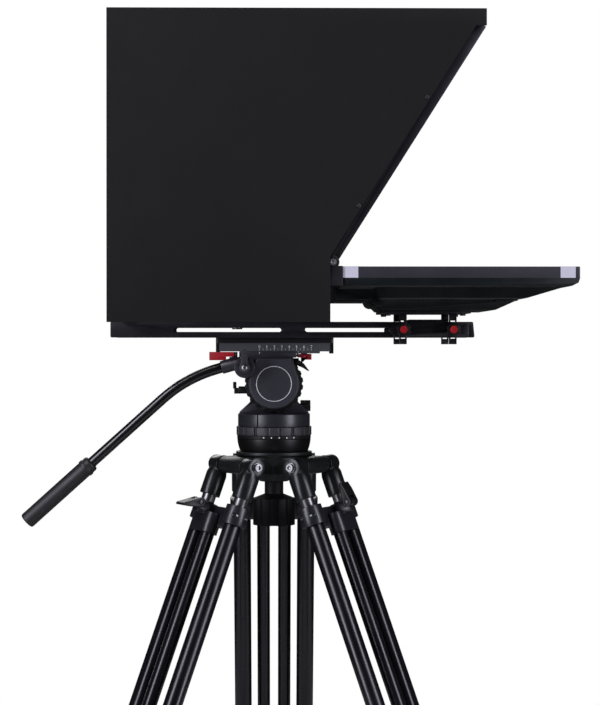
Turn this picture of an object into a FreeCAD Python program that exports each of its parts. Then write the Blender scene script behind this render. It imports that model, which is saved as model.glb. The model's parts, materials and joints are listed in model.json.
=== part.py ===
import FreeCAD, Part
import math
import os
import re

import Sketcher

# Teleprompter on a fluid head and a three-legged stand. Millimetres, +Z up. The origin is on the
# floor under the stand's axis, +X runs forward to the presenter and +Y to the operator's left.

DOC = FreeCAD.newDocument("Teleprompter")
SHEET = DOC.addObject("Spreadsheet::Sheet", "Sizes")
NODES = []

SIZES = {
    # running clearances
    "slip": 0.3, "fit": 0.05,
    # stand: crown, hinges and tie-down
    "hinge_height": 720, "hinge_reach": 59, "leg_tilt": 21.3, "lug_half": 30.2, "lug_radius": 11.5,
    "pin_radius": 4, "rim_radius": 51.6, "rim_top": "=hinge_height + 18", "rim_thick": 5,
    "crown_radius": 40, "crown_foot": 19.75, "crown_bottom": "=hinge_height - 23", "bowl_radius": 50,
    "bowl_centre": "=hinge_height + 38", "ball_bottom": "=hinge_height - 8", "stud_radius": 6,
    "stud_end": "=hinge_height - 68", "sleeve_radius": 12.75, "knob_radius": 29,
    "knob_top": "=hinge_height - 46", "knob_bottom": "=hinge_height - 82",
    # legs, measured along the leg from the hinge
    "leg_length": "=hinge_height / cos(leg_tilt)", "tube_spread": 45, "tube_radius": 12.25,
    "tube_wall": 1.5, "tube_start": 62, "tube_end": "=leg_length - 110.7882", "arm_radius": 14,
    "boss_radius": 12, "boss_half": 12, "arm_end": 44.5, "rod_radius": 9.5, "rod_end": 290,
    "collar_radius": 16.5, "collar_start": 56, "collar_end": 81, "pair_spread": 15, "pair_offset": 16,
    "pair_radius": 9.15, "pair_start": 78, "pair_end": "=leg_length - 60.7882", "lock_start": 72,
    "lock_end": 99, "lock_wall": 2.4, "lower_start": "=leg_length - 132.7882",
    "lower_end": "=leg_length - 92.7882", "lever_reach": 37, "lever_station": 64, "lever_length": 28,
    "lever_width": 22, "lever_hub": 6.5, "foot_start": "=leg_length - 72.7882",
    "foot_block_end": "=leg_length - 36.7882", "foot_ball": 11, "pad_radius": 21, "pad_height": 26,
    # fluid head
    "ball_top": "=hinge_height + 40", "ring_radius": 51, "ring_bottom": "=hinge_height + 35.8",
    "band_bottom": "=hinge_height + 52", "band_radius": 48.9, "band_top": "=hinge_height + 70",
    "spigot_radius": 12, "block_half": 16, "shoulder_half": 33, "shoulder_top": "=hinge_height + 84",
    "tilt_height": "=hinge_height + 110", "pivot_radius": 26, "shaft_radius": 8, "cheek_radius": 34,
    "cheek_inner": 28, "cheek_outer": 38, "cheek_top_half": 24, "cap_outer": "=cheek_outer + 4",
    "yoke_top": "=hinge_height + 145", "yoke_thick": 7.5, "yoke_back": -45, "yoke_front": 26,
    "dial_radius": 39.5, "dial_inner": 16.5, "dial_outer": 25, "dial_gap": 0.4, "pad_groove": 2.6,
    "pad_count": 18, "small_pin": 2.5, "catch_pin": 1.5, "groove_half": 20, "tongue_back": -46,
    "tongue_front": 62, "tongue_depth": 2.7, "ear_radius": 12, "rosette_radius": 10.4, "clamp_screw": 3.9,
    "blade_y": 8, "red_lever_y": -25.5, "brake_radius": 7.5, "brake_height": "=hinge_height + 79.5",
    "brake_start": 36, "brake_end": 49.6, "clamp_x": -39, "clamp_height": "=hinge_height + 132",
    "clamp_radius": 13.8, "bar_offset": "=cap_outer + 15", "clamp_back": -47, "clamp_front": 30,
    "clamp_half": 27, "plate_bottom": "=hinge_height + 153.3", "plate_back": -78, "plate_front": 80,
    "plate_half": 26, "plate_top": "=hinge_height + 172", "bar_radius": 7, "bar_first_slope": 16.5,
    "bar_second_slope": 42, "bar_bend": 180, "bar_knee_x": -117.7,
    "bar_knee_height": "=hinge_height + 117.7", "bar_inner_run": 74, "bar_outer_run": 281,
    "grip_radius": 11, "grip_length": 117, "clamp_depth": 25.2, "sleeve_wall": 1.8, "sleeve_length": 24,
    # base rails and camera bed
    "rail_back": -218, "rail_front": 268, "rail_half": 50, "rail_depth": 12, "rail_wall": 2,
    "rail_height": 21, "slot_height": 6, "slot_middle": "=hinge_height + 182.5", "rear_slot_start": -135,
    "rear_slot_end": 10, "front_slot_start": 41.5, "front_slot_end": 252, "floor_back": -100,
    "floor_front": 120, "floor_thick": 3, "bed_back": -90, "bed_front": -10, "bed_half": 46,
    "bed_thick": 4, "screw_radius": 3.175, "screw_length": 6, "screw_x": -50,
    # front frame, glass and hood
    "frame_half": 252.8, "frame_back": 56, "frame_front": 68, "frame_bar_top": "=hinge_height + 205",
    "frame_top": "=hinge_height + 254", "glass_pivot_x": 72.2,
    "glass_pivot_height": "=hinge_height + 263.5", "glass_slope": 57.7, "glass_length": 350,
    "glass_half": "=frame_half - 4.8", "glass_border": 18, "glass_depth": 14, "glass_face": 4.5,
    "glass_thick": 3, "hood_back": -204.5, "hood_front": 260.5, "hood_bottom": "=hinge_height + 190",
    "hood_top": "=hinge_height + 574", "hood_half": "=frame_half + 2.4", "hood_wall": 2,
    "hood_nose": "=hinge_height + 553", "hood_inset": 11, "hoop_radius": 4, "hoop_x": -198,
    # monitor and its carriage
    "monitor_back": 77, "monitor_front": 376, "monitor_half": "=frame_half - 2.8",
    "monitor_top": "=hinge_height + 258.4", "bezel_bottom": "=hinge_height + 244.6", "bezel_width": 14,
    "shell_bottom": "=hinge_height + 234.6", "shell_wall": 2.5, "bulge_bottom": "=hinge_height + 221",
    "plate_seat": "=hinge_height + 208", "vesa_back": 142, "vesa_front": 262, "vesa_half": 60,
    "vesa_thick": 4, "vesa_pitch": 100, "post_width": 10, "post_depth": 6.4,
    "post_bottom": "=hinge_height + 163", "rear_post_x": 171.6, "front_post_x": 238, "carriage_back": 153,
    "carriage_front": 260, "cheek_plate": 3, "knob_size": 10, "knob_depth": 13,
}


def fill_sheet():
    for row, (alias, value) in enumerate(SIZES.items(), start=1):
        SHEET.set(f"A{row}", alias.replace("_", " "))
        SHEET.set(f"B{row}", str(value))
        SHEET.setAlias(f"B{row}", alias)
    DOC.recompute()


def bound(expression):
    """An expression in plain size names, written so that it reads the sheet."""
    words = re.compile(r"[A-Za-z_]\w*")
    functions = ("sin", "cos", "tan", "sqrt")
    return words.sub(lambda m: m[0] if m[0] in functions else "Sizes." + m[0], str(expression))


def size(alias):
    return float(SHEET.get(alias))


def place(item, x=0, y=0, z=0):
    for axis, expression in zip("xyz", (x, y, z)):
        item.setExpression(f"Placement.Base.{axis}", bound(expression))
    return item


# Primitives whose every size follows the sheet.

def block(x0, x1, y0, y1, z0, z1):
    box = DOC.addObject("Part::Box", "Block")
    box.setExpression("Length", bound(f"({x1}) - ({x0})"))
    box.setExpression("Width", bound(f"({y1}) - ({y0})"))
    box.setExpression("Height", bound(f"({z1}) - ({z0})"))
    return place(box, x0, y0, z0)


TURNS = {"z": FreeCAD.Rotation(), "x": FreeCAD.Rotation(FreeCAD.Vector(0, 1, 0), 90),
         "y": FreeCAD.Rotation(FreeCAD.Vector(1, 0, 0), -90)}


def rod(radius, start, end, axis="z", at=(0, 0)):
    """A cylinder from start to end along an axis; at holds its two other coordinates in x, y, z order."""
    cylinder = DOC.addObject("Part::Cylinder", "Rod")
    cylinder.Placement.Rotation = TURNS[axis]
    cylinder.setExpression("Radius", bound(radius))
    cylinder.setExpression("Height", bound(f"({end}) - ({start})"))
    place(cylinder, *along(axis, start, at))
    return cylinder


def taper(radius1, radius2, start, end, axis="z", at=(0, 0)):
    cone = DOC.addObject("Part::Cone", "Taper")
    cone.Placement.Rotation = TURNS[axis]
    cone.setExpression("Radius1", bound(radius1))
    cone.setExpression("Radius2", bound(radius2))
    cone.setExpression("Height", bound(f"({end}) - ({start})"))
    place(cone, *along(axis, start, at))
    return cone


def along(axis, start, at):
    coordinates = list(at)
    coordinates.insert("xyz".index(axis), start)
    return coordinates


def ball(radius, x, y, z):
    sphere = DOC.addObject("Part::Sphere", "Ball")
    sphere.setExpression("Radius", bound(radius))
    return place(sphere, x, y, z)


def fuse(*pieces):
    if len(pieces) == 1:
        return pieces[0]
    union = DOC.addObject("Part::MultiFuse", "Union")
    union.Shapes = list(pieces)
    return union


def cut(base, *tools):
    remainder = DOC.addObject("Part::Cut", "Remainder")
    remainder.Base = base
    remainder.Tool = fuse(*tools)
    return remainder


def mirrored(item, normal=(0, 1, 0)):
    mirror = DOC.addObject("Part::Mirroring", "Mirror")
    mirror.Source = item
    mirror.Normal = FreeCAD.Vector(*normal)
    return mirror


def group(*solids):
    compound = DOC.addObject("Part::Compound", "Group")
    compound.Links = list(solids)
    return compound


def softened(item, radius, chosen):
    """Rounds the edges for which chosen(edge) is true."""
    DOC.recompute()
    edges = [n for n, edge in enumerate(item.Shape.Edges, start=1) if chosen(edge)]
    fillet = DOC.addObject("Part::Fillet", "Softened")
    fillet.Base = item
    fillet.Edges = [(n, radius, radius) for n in edges]
    return fillet


def node(label, item):
    item.Label = label
    NODES.append(item)
    return item


# Sketched bodies: an outline of straight sides or circles, padded either way from its plane.

def body(label):
    return DOC.addObject("PartDesign::Body", "Body_" + label)


def sketch_on(owner, role, offset="0"):
    sketch = owner.newObject("Sketcher::SketchObject", "Profile")
    plane = next(f for f in owner.Origin.OriginFeatures if f.Role == role)
    sketch.AttachmentSupport = (plane, [""])
    sketch.MapMode = "FlatFace"
    sketch.setExpression("AttachmentOffset.Base.z", bound(offset))
    return sketch


def corners(sketch, points):
    """A closed run of sides through points, each held to the origin by two bound distances."""
    count = len(points)
    first = sketch.GeometryCount
    for n in range(count):
        angle = 2 * math.pi * n / count
        after = 2 * math.pi * (n + 1) / count
        start = FreeCAD.Vector(100 * math.cos(angle), 100 * math.sin(angle), 0)
        end = FreeCAD.Vector(100 * math.cos(after), 100 * math.sin(after), 0)
        sketch.addGeometry(Part.LineSegment(start, end), False)
    for n, (across, up) in enumerate(points):
        line = first + n
        sketch.addConstraint(Sketcher.Constraint("Coincident", line, 2, first + (n + 1) % count, 1))
        for kind, expression in (("DistanceX", across), ("DistanceY", up)):
            index = sketch.addConstraint(Sketcher.Constraint(kind, -1, 1, line, 1, 1.0))
            sketch.setExpression(f"Constraints[{index}]", bound(expression))


def circle(sketch, radius, across="0", up="0"):
    n = sketch.addGeometry(Part.Circle(FreeCAD.Vector(1, 1, 0), FreeCAD.Vector(0, 0, 1), 5), False)
    for kind, expression in (("DistanceX", across), ("DistanceY", up)):
        index = sketch.addConstraint(Sketcher.Constraint(kind, -1, 1, n, 3, 1.0))
        sketch.setExpression(f"Constraints[{index}]", bound(expression))
    index = sketch.addConstraint(Sketcher.Constraint("Radius", n, 5.0))
    sketch.setExpression(f"Constraints[{index}]", bound(radius))


def pad(owner, sketch, length, both_ways=False):
    feature = owner.newObject("PartDesign::Pad", "Pad")
    feature.Profile = sketch
    feature.Midplane = both_ways
    feature.setExpression("Length", bound(length))
    return feature


def pocket(owner, sketch, length, both_ways=True):
    feature = owner.newObject("PartDesign::Pocket", "Pocket")
    feature.Profile = sketch
    feature.Midplane = both_ways
    feature.setExpression("Length", bound(length))
    return feature


def revolved(owner, sketch, kind="PartDesign::Revolution"):
    feature = owner.newObject(kind, "Turned")
    feature.Profile = sketch
    feature.ReferenceAxis = (sketch, ["V_Axis"])
    feature.Angle = 360
    return feature


def around(owner, feature, count, role="Z_Axis"):
    pattern = owner.newObject("PartDesign::PolarPattern", "Around")
    pattern.Originals = [feature]
    axis = next(f for f in owner.Origin.OriginFeatures if f.Role == role)
    pattern.Axis = (axis, [""])
    pattern.Angle = 360
    pattern.Occurrences = count
    owner.Tip = pattern
    return pattern


def rounded(owner, radius, chosen):
    DOC.recompute()
    base = owner.Tip
    names = [f"Edge{n}" for n, edge in enumerate(base.Shape.Edges, start=1) if chosen(edge)]
    feature = owner.newObject("PartDesign::Fillet", "Rounded")
    feature.Base = (base, names)
    feature.Radius = radius
    return feature


def runs_along(axis):
    """True for straight edges parallel to an axis."""
    direction = FreeCAD.Vector(*axis)

    def test(edge):
        if not isinstance(edge.Curve, Part.Line):
            return False
        return abs(abs(edge.Curve.Direction.dot(direction)) - 1) < 1e-6
    return test


def is_ring(edge):
    return isinstance(edge.Curve, Part.Circle)


# ---------------------------------------------------------------- stand

LEGS = {"rear": 90, "left": 210, "right": 330}


def leg_place(azimuth):
    """The frame of one leg: origin on its hinge, -Z down the leg, +X away from the stand's axis."""
    reach, height = size("hinge_reach"), size("hinge_height")
    turn = FreeCAD.Rotation(FreeCAD.Vector(0, 0, 1), azimuth)
    lean = FreeCAD.Rotation(FreeCAD.Vector(0, 1, 0), -size("leg_tilt"))
    base = turn.multVec(FreeCAD.Vector(reach, 0, 0)) + FreeCAD.Vector(0, 0, height)
    return FreeCAD.Placement(base, turn * lean)


def hinge_place(azimuth):
    """The same hinge point with Z upright."""
    turn = FreeCAD.Rotation(FreeCAD.Vector(0, 0, 1), azimuth)
    base = turn.multVec(FreeCAD.Vector(size("hinge_reach"), 0, 0))
    return FreeCAD.Placement(base + FreeCAD.Vector(0, 0, size("hinge_height")), turn)


def crown():
    """Cast crown: a bowl seat with three hinge lugs. The lugs are padded first, then the bowl is turned."""
    crown_body = body("crown")
    lug = sketch_on(crown_body, "YZ_Plane")
    corners(lug, [(x, f"hinge_height {side} lug_radius")
                  for x, side in (("sleeve_radius", "-"), ("hinge_reach", "-"), ("hinge_reach", "+"),
                                  ("sleeve_radius", "+"))])
    arm = pad(crown_body, lug, "2 * lug_half", both_ways=True)
    around(crown_body, arm, 3)
    DOC.recompute()
    eye = sketch_on(crown_body, "YZ_Plane")
    circle(eye, "lug_radius", "hinge_reach", "hinge_height")
    around(crown_body, pad(crown_body, eye, "2 * lug_half", both_ways=True), 3)
    DOC.recompute()
    shell = sketch_on(crown_body, "XZ_Plane")
    corners(shell, [("0", "crown_bottom"), ("crown_foot", "crown_bottom"),
                    ("crown_foot + 4", "crown_bottom + 8"), ("crown_radius", "rim_top - rim_thick - 8"),
                    ("crown_radius + 4", "rim_top - rim_thick"), ("rim_radius", "rim_top - rim_thick"),
                    ("rim_radius", "rim_top"), ("0", "rim_top")])
    revolved(crown_body, shell)
    holes = [rod("pin_radius + fit", "-lug_half - 1", "lug_half + 1", "y") for _ in LEGS]
    for hole, azimuth in zip(holes, LEGS.values()):
        spin = hinge_place(azimuth)
        hole.Placement = spin * FreeCAD.Placement(FreeCAD.Vector(0, -size("lug_half") - 1, 0), TURNS["y"])
        hole.setExpression("Placement.Base.x", None)
        hole.setExpression("Placement.Base.y", None)
        hole.setExpression("Placement.Base.z", None)
    seat = ball("bowl_radius + fit", "0", "0", "bowl_centre")
    mouth = rod("stud_radius + 8", "crown_bottom - 1", "rim_top")
    node("crown", cut(crown_body, seat, mouth, *holes))


def hinge_bolts():
    """One shouldered pin through each leg's lug and arms, with a washer and a socket cap at both ends."""
    end = "tube_spread + boss_half"
    for_legs = []
    for azimuth in LEGS.values():
        pin = rod("pin_radius", f"-({end})", end, "y")
        ends = []
        for side in (1, -1):
            low, high = (end, f"{end} + 2") if side > 0 else (f"-({end}) - 2", f"-({end})")
            ends.append(rod("6.75", low, high, "y"))
            low, high = (f"{end} + 2", f"{end} + 6") if side > 0 else (f"-({end}) - 6", f"-({end}) - 2")
            ends.append(rod("5.5", low, high, "y"))
        sockets = [rod("2.5", f"{end} + 3", f"{end} + 7", "y"),
                   rod("2.5", f"-({end}) - 7", f"-({end}) - 3", "y")]
        bolt = cut(fuse(pin, *ends), *sockets)
        bolt.Placement = hinge_place(azimuth)
        for_legs.append(bolt)
    node("hinge_bolts", group(*for_legs))


def tie_down_knob():
    """Knob under the crown that draws the half ball into its bowl."""
    sleeve = rod("sleeve_radius", "knob_top", "crown_bottom - slip")
    flare = taper("knob_radius - 1", "sleeve_radius", "knob_top", "knob_top + 6")
    grip = rod("knob_radius", "knob_bottom", "knob_top")
    bore = rod("stud_radius + fit", "knob_bottom - 1", "crown_bottom + 1")
    lobes = []
    for n in range(8):
        angle = 2 * math.pi * n / 8
        across, up = (f"(knob_radius + 4) * {turned:.6f}" for turned in (math.cos(angle), math.sin(angle)))
        lobes.append(rod("7", "knob_bottom - 1", "knob_top + 1", "z", (across, up)))
    node("tie_down_knob", cut(fuse(sleeve, flare, grip), bore, *lobes))


def twin(radius, start, end, spread="tube_spread", across="0"):
    """Two parallel rods down the leg, between two distances from the hinge."""
    return [rod(radius, f"-({end})", f"-({start})", "z", (across, f"{side}({spread})")) for side in ("", "-")]


def leg_arms(name, azimuth):
    """Two hinge arms: an eye on the pin, a round shouldered arm and a rod down inside the outer tube."""
    arms = []
    for side in ("", "-"):
        at = ("0", f"{side}tube_spread")
        middle = f"{side}tube_spread"
        eye = rod("boss_radius", f"{middle} - boss_half", f"{middle} + boss_half", "y", ("0", "0"))
        arm = rod("arm_radius", "-arm_end", "-boss_radius - 3", "z", at)
        shoulder = taper("arm_radius", "boss_radius - 2", "-boss_radius - 3", "0", "z", at)
        run = rod("rod_radius", "-rod_end", "-arm_end", "z", at)
        bush = rod("tube_radius - tube_wall - fit", "-rod_end", "-rod_end + 15", "z", at)
        hole = rod("pin_radius + fit", f"{middle} - 20", f"{middle} + 20", "y", ("0", "0"))
        arms.append(cut(fuse(eye, shoulder, arm, run, bush), hole))
    return leg_node(f"{name}_leg_arms", group(*arms), azimuth)


def leg_node(label, item, azimuth):
    item.Placement = leg_place(azimuth)
    return node(label, item)


def outer_tubes(name, azimuth):
    tubes = [cut(outer, inner) for outer, inner in zip(
        twin("tube_radius", "tube_start", "tube_end"),
        twin("tube_radius - tube_wall", "tube_start - 1", "tube_end + 1"))]
    leg_node(f"{name}_outer_tubes", group(*tubes), azimuth)


def inner_tubes(name, azimuth):
    tubes = [cut(outer, inner) for outer, inner in zip(
        twin("pair_radius", "pair_start", "pair_end", "pair_spread", "pair_offset"),
        twin("pair_radius - tube_wall", "pair_start - 1", "pair_end + 1", "pair_spread", "pair_offset"))]
    leg_node(f"{name}_inner_tubes", group(*tubes), azimuth)


def lock_casting(collar_from, collar_to, house_from, house_to, hub):
    """Clamp casting: collars on the outer tubes, a sleeve on the inner pair and an ear for its lever."""
    collars = twin("collar_radius", collar_from, collar_to)
    bridge = block("-7", "12", "-tube_spread", "tube_spread", f"-({house_to}) + 12", f"-({collar_from}) - 5")
    sleeves = twin("pair_radius + lock_wall", house_from, house_to, "pair_spread", "pair_offset")
    house = block("2", "pair_offset + pair_radius + lock_wall", "-pair_spread", "pair_spread",
                  f"-({house_to})", f"-({house_from})")
    ear = block("pair_offset", "lever_reach", "-6", "6", f"-({hub}) - 12", f"-({hub}) + lever_hub - 1")
    ear_end = rod("lever_hub - 1", "-6", "6", "y", ("lever_reach", f"-({hub})"))
    pin = rod("3", "-lever_width / 2", "lever_width / 2", "y", ("lever_reach", f"-({hub})"))
    return fuse(*collars, bridge, *sleeves, house, ear, ear_end, pin)


def upper_lock(name, azimuth):
    casting = lock_casting("collar_start", "collar_end", "lock_start", "lock_end", "lever_station")
    bores = (twin("tube_radius + fit", "tube_start", "lock_end + 1")
             + twin("rod_radius + fit", "collar_start - 1", "tube_start")
             + twin("pair_radius + fit", "lock_start + 3", "lock_end + 1", "pair_spread", "pair_offset"))
    pinch = [rod("2.6", "-20", "20", "x", (f"{side}(tube_spread + 13)", "-(collar_start + collar_end) / 2"))
             for side in ("", "-")]
    leg_node(f"{name}_upper_lock", cut(casting, *bores, *pinch), azimuth)


def lower_lock(name, azimuth):
    casting = lock_casting("lower_start", "lower_end - 12", "lower_start", "lower_end", "lower_start + 8")
    bores = (twin("tube_radius + fit", "lower_start - 1", "tube_end + fit")
             + twin("rod_radius", "tube_end", "lower_end")
             + twin("pair_radius + fit", "lower_start - 1", "lower_end + 1", "pair_spread", "pair_offset"))
    leg_node(f"{name}_lower_lock", cut(casting, *bores), azimuth)


def lock_lever(label, azimuth, station, turn):
    """Cam lever: a forked hub on the casting's ear and a tapered wing."""
    lever = body(label)
    wing = sketch_on(lever, "XZ_Plane")
    corners(wing, [("-lever_hub", "0"), ("lever_hub", "0"), ("lever_hub - 2.5", "lever_length * 0.6"),
                   ("1", "lever_length"), ("-2", "lever_length - 2")])
    pad(lever, wing, "lever_width", both_ways=True)
    hub = sketch_on(lever, "XZ_Plane")
    circle(hub, "lever_hub")
    pad(lever, hub, "lever_width", both_ways=True)
    rounded(lever, 1.2, lambda edge: edge.BoundBox.ZMin > 5 and edge.Length > 15)
    throat = block("-lever_hub - 2", "lever_hub + 2", "-6 - slip", "6 + slip", "-lever_hub - 2", "lever_hub + 1")
    bore = rod("3 + fit", "-lever_width", "lever_width", "y", ("0", "0"))
    forked = cut(lever, throat, bore)
    hinge = FreeCAD.Placement(FreeCAD.Vector(size("lever_reach"), 0, -station),
                              FreeCAD.Rotation(FreeCAD.Vector(0, 1, 0), turn))
    forked.Placement = leg_place(azimuth) * hinge
    node(label, forked)


def foot(name, azimuth):
    """Foot casting on the inner pair, and a rubber pad that swivels on the casting's ball."""
    sole = "(hinge_height + pair_offset * sin(leg_tilt)) / cos(leg_tilt)"
    sockets = twin("pair_radius + 3", "foot_start", "foot_block_end", "pair_spread", "pair_offset")
    web = block("pair_offset - 8", "pair_offset + 8", "-pair_spread", "pair_spread",
                "-foot_block_end", "-foot_start")
    stem = rod("7", f"-({sole}) + pad_height", "-foot_start - 10", "z", ("pair_offset", "0"))
    tip = ball("foot_ball", "pair_offset", "0", f"-({sole}) + pad_height - 6")
    bores = twin("pair_radius + fit", "foot_start - 1", "pair_end", "pair_spread", "pair_offset")
    casting = cut(fuse(*sockets, web, stem, tip), *bores)
    base = rod("pad_radius", "0", "10", "z")
    neck = taper("pad_radius", "foot_ball + 3", "10", "pad_height - 4", "z")
    lean = math.radians(size("leg_tilt"))
    socket = ball("foot_ball + fit", "0", "0", "0")
    socket.setExpression("Placement.Base.x", bound("(pad_height - 6) * sin(-leg_tilt)"))
    socket.setExpression("Placement.Base.z", bound("(pad_height - 6) * cos(leg_tilt)"))
    pad_piece = cut(fuse(base, neck), socket)
    length = (size("hinge_height") + size("pair_offset") * math.sin(lean)) / math.cos(lean)
    upright = FreeCAD.Rotation(FreeCAD.Vector(0, 1, 0), size("leg_tilt"))
    pad_piece.Placement = FreeCAD.Placement(FreeCAD.Vector(size("pair_offset"), 0, -length), upright)
    leg_node(f"{name}_foot", group(casting, pad_piece), azimuth)


def legs():
    open_turn = {"rear": 0, "left": 114, "right": 0}
    for name, azimuth in LEGS.items():
        leg_arms(name, azimuth)
        outer_tubes(name, azimuth)
        upper_lock(name, azimuth)
        lock_lever(f"{name}_lock_lever", azimuth, size("lever_station"), open_turn[name])
        lower_lock(name, azimuth)
        lock_lever(f"{name}_lower_lever", azimuth, size("lower_start") + 8, 0)
        inner_tubes(name, azimuth)
        foot(name, azimuth)


# ---------------------------------------------------------------- fluid head

def half_ball():
    """Levelling half ball: a sphere cut flat above and below, the pan spigot and the tie-down stud."""
    sphere = ball("bowl_radius", "0", "0", "bowl_centre")
    belt = block("-60", "60", "-60", "60", "ball_bottom", "ring_bottom - slip")
    bowl = DOC.addObject("Part::Common", "Bowl")
    bowl.Base = sphere
    bowl.Tool = belt
    shoulder = rod("bowl_radius - 4", "ring_bottom - slip - 1", "ball_top")
    spigot = rod("spigot_radius", "ball_top", "ball_top + 18")
    stud = rod("stud_radius", "stud_end", "ball_bottom")
    node("half_ball", fuse(bowl, shoulder, spigot, stud))


def pan_drag_ring():
    """Drag ring: a lipped ring with eighteen raised grip pads."""
    ring = body("pan_drag_ring")
    rim = sketch_on(ring, "XY_Plane", "ring_bottom")
    circle(rim, "bowl_radius + 0.1")
    circle(rim, "bowl_radius - 4 + slip")
    pad(ring, rim, "ball_top - ring_bottom + slip")
    upper = sketch_on(ring, "XY_Plane", "ball_top + slip")
    circle(upper, "ring_radius")
    circle(upper, "bowl_radius - 6")
    pad(ring, upper, "band_bottom - ball_top - 2 * slip")
    DOC.recompute()
    groove = sketch_on(ring, "XY_Plane", "ball_top + 1")
    circle(groove, "pad_groove", "ring_radius + 1", "0")
    feature = pocket(ring, groove, "band_bottom - ball_top + 4", both_ways=False)
    feature.Reversed = True
    around(ring, feature, int(size("pad_count")))
    node("pan_drag_ring", ring)


def pan_housing():
    """Pan housing: the band over the drag ring, and the shouldered block that carries the tilt shaft."""
    housing = body("pan_housing")
    band = sketch_on(housing, "XZ_Plane")
    corners(band, [("0", "ball_top + slip"), ("bowl_radius - 6 - slip", "ball_top + slip"),
                   ("bowl_radius - 6 - slip", "band_bottom"), ("band_radius", "band_bottom"),
                   ("band_radius", "band_top - 1.5"), ("band_radius - 3", "band_top"), ("0", "band_top")])
    revolved(housing, band)
    tower = sketch_on(housing, "XZ_Plane")
    corners(tower, [("-band_radius + 1.5", "band_top - 2"), ("band_radius - 1.5", "band_top - 2"),
                    ("band_radius - 2", "band_top + 1"), ("shoulder_half", "shoulder_top"),
                    ("pivot_radius", "tilt_height"), ("-pivot_radius", "tilt_height"),
                    ("-shoulder_half", "shoulder_top"), ("-band_radius + 2", "band_top + 1")])
    pad(housing, tower, "2 * block_half", both_ways=True)
    crest = sketch_on(housing, "XZ_Plane")
    circle(crest, "pivot_radius", "0", "tilt_height")
    pad(housing, crest, "2 * block_half", both_ways=True)
    shoulder_foot = size("shoulder_top") - 9
    rounded(housing, 1.5, lambda edge: runs_along((0, 1, 0))(edge) and edge.BoundBox.ZMin > shoulder_foot)
    shaft = rod("shaft_radius + fit", "-block_half - 1", "block_half + 1", "y", ("0", "tilt_height"))
    well = rod("brake_radius + slip", "brake_start - slip", "band_radius + 2", "x", ("0", "brake_height"))
    stem = rod("3 + fit", "brake_start - 15", "brake_start", "x", ("0", "brake_height"))
    spigot = rod("spigot_radius + fit", "ball_top", "ball_top + 18 + slip")
    lever = rod("2.5 + fit", "-shoulder_half - 5", "-shoulder_half + 18", "x", ("-6", "tilt_height - 9"))
    node("pan_housing", cut(housing, shaft, well, stem, spigot, lever))


def pan_brake_knob():
    knob = rod("brake_radius", "brake_start", "brake_end", "x", ("0", "brake_height"))
    stem = rod("3", "brake_start - 14", "brake_start", "x", ("0", "brake_height"))
    flutes = []
    for n in range(10):
        angle = 2 * math.pi * n / 10
        across = f"(brake_radius + 0.4) * {math.cos(angle):.6f}"
        up = f"brake_height + (brake_radius + 0.4) * {math.sin(angle):.6f}"
        flutes.append(rod("1.2", "brake_start + 2", "brake_end + 1", "x", (across, up)))
    node("pan_brake_knob", cut(fuse(knob, stem), *flutes))


def teardrop(label, inner, outer, shrink):
    """A cheek outline: a round about the tilt shaft that narrows to a flat top."""
    plate = body(label)
    for draw in ("round", "wedge"):
        outline = sketch_on(plate, "XZ_Plane", inner)
        if draw == "round":
            circle(outline, f"cheek_radius - {shrink}", "0", "tilt_height")
        else:
            side = f"(cheek_radius - {shrink})"
            corners(outline, [(f"-{side} * 0.985", f"tilt_height + {side} * 0.17"),
                              (f"{side} * 0.985", f"tilt_height + {side} * 0.17"),
                              (f"cheek_top_half - {shrink}", f"yoke_top - {shrink}"),
                              (f"-cheek_top_half + {shrink}", f"yoke_top - {shrink}")])
        pad(plate, outline, f"({outer}) - ({inner})")
    return plate


def tilt_body():
    """Yoke: two teardrop cheeks, the top plate, the tilt shaft and the rosette for the pan bar."""
    near = teardrop("cheek", "cheek_inner", "cheek_outer", "0")
    top = block("yoke_back", "yoke_front", "-cheek_outer", "cheek_outer", "yoke_top - yoke_thick", "yoke_top")
    shaft = rod("shaft_radius", "-cheek_outer", "cheek_outer", "y", ("0", "tilt_height"))
    ear = rod("ear_radius", "-cheek_outer", "-cheek_inner", "y", ("clamp_x", "clamp_height"))
    root = block("clamp_x", "-cheek_top_half + 4", "-cheek_outer", "-cheek_inner",
                 "clamp_height - 8", "yoke_top - 1")
    rosette = rod("rosette_radius", "-cap_outer", "-cheek_outer", "y", ("clamp_x", "clamp_height"))
    hub_pin = rod("small_pin", "yoke_front", "yoke_front + 8", "x", ("blade_y", "yoke_top - 6"))
    slot = rod("dial_radius + dial_gap", "-dial_outer - slip", "-dial_inner + slip", "y", ("0", "tilt_height"))
    bore = rod("clamp_screw + fit", "-cap_outer - 1", "-cheek_inner - 2", "y", ("clamp_x", "clamp_height"))
    cheeks = fuse(near, mirrored(near), top, ear, root, rosette, hub_pin)
    node("tilt_body", fuse(cut(cheeks, slot, bore), shaft))


def side_caps():
    cap = teardrop("side_cap", "cheek_outer", "cap_outer", "1")
    rounded(cap, 1.6, lambda edge: edge.BoundBox.YMax < -size("cap_outer") + 0.01 and edge.Length > 3)
    node("side_caps", group(cap, mirrored(cap)))


def tilt_drag_dial():
    """Scalloped dial on the tilt shaft."""
    dial = body("tilt_drag_dial")
    disc = sketch_on(dial, "XZ_Plane", "dial_inner")
    circle(disc, "dial_radius", "0", "0")
    circle(disc, "shaft_radius + fit", "0", "0")
    pad(dial, disc, "dial_outer - dial_inner")
    DOC.recompute()
    notch = sketch_on(dial, "XZ_Plane", "dial_inner - 1")
    circle(notch, "3.2", "dial_radius + 1.6", "0")
    feature = pocket(dial, notch, "dial_outer - dial_inner + 2", both_ways=False)
    feature.Reversed = True
    around(dial, feature, 24, "Y_Axis")
    dial.setExpression("Placement.Base.z", bound("tilt_height"))
    node("tilt_drag_dial", dial)


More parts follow.
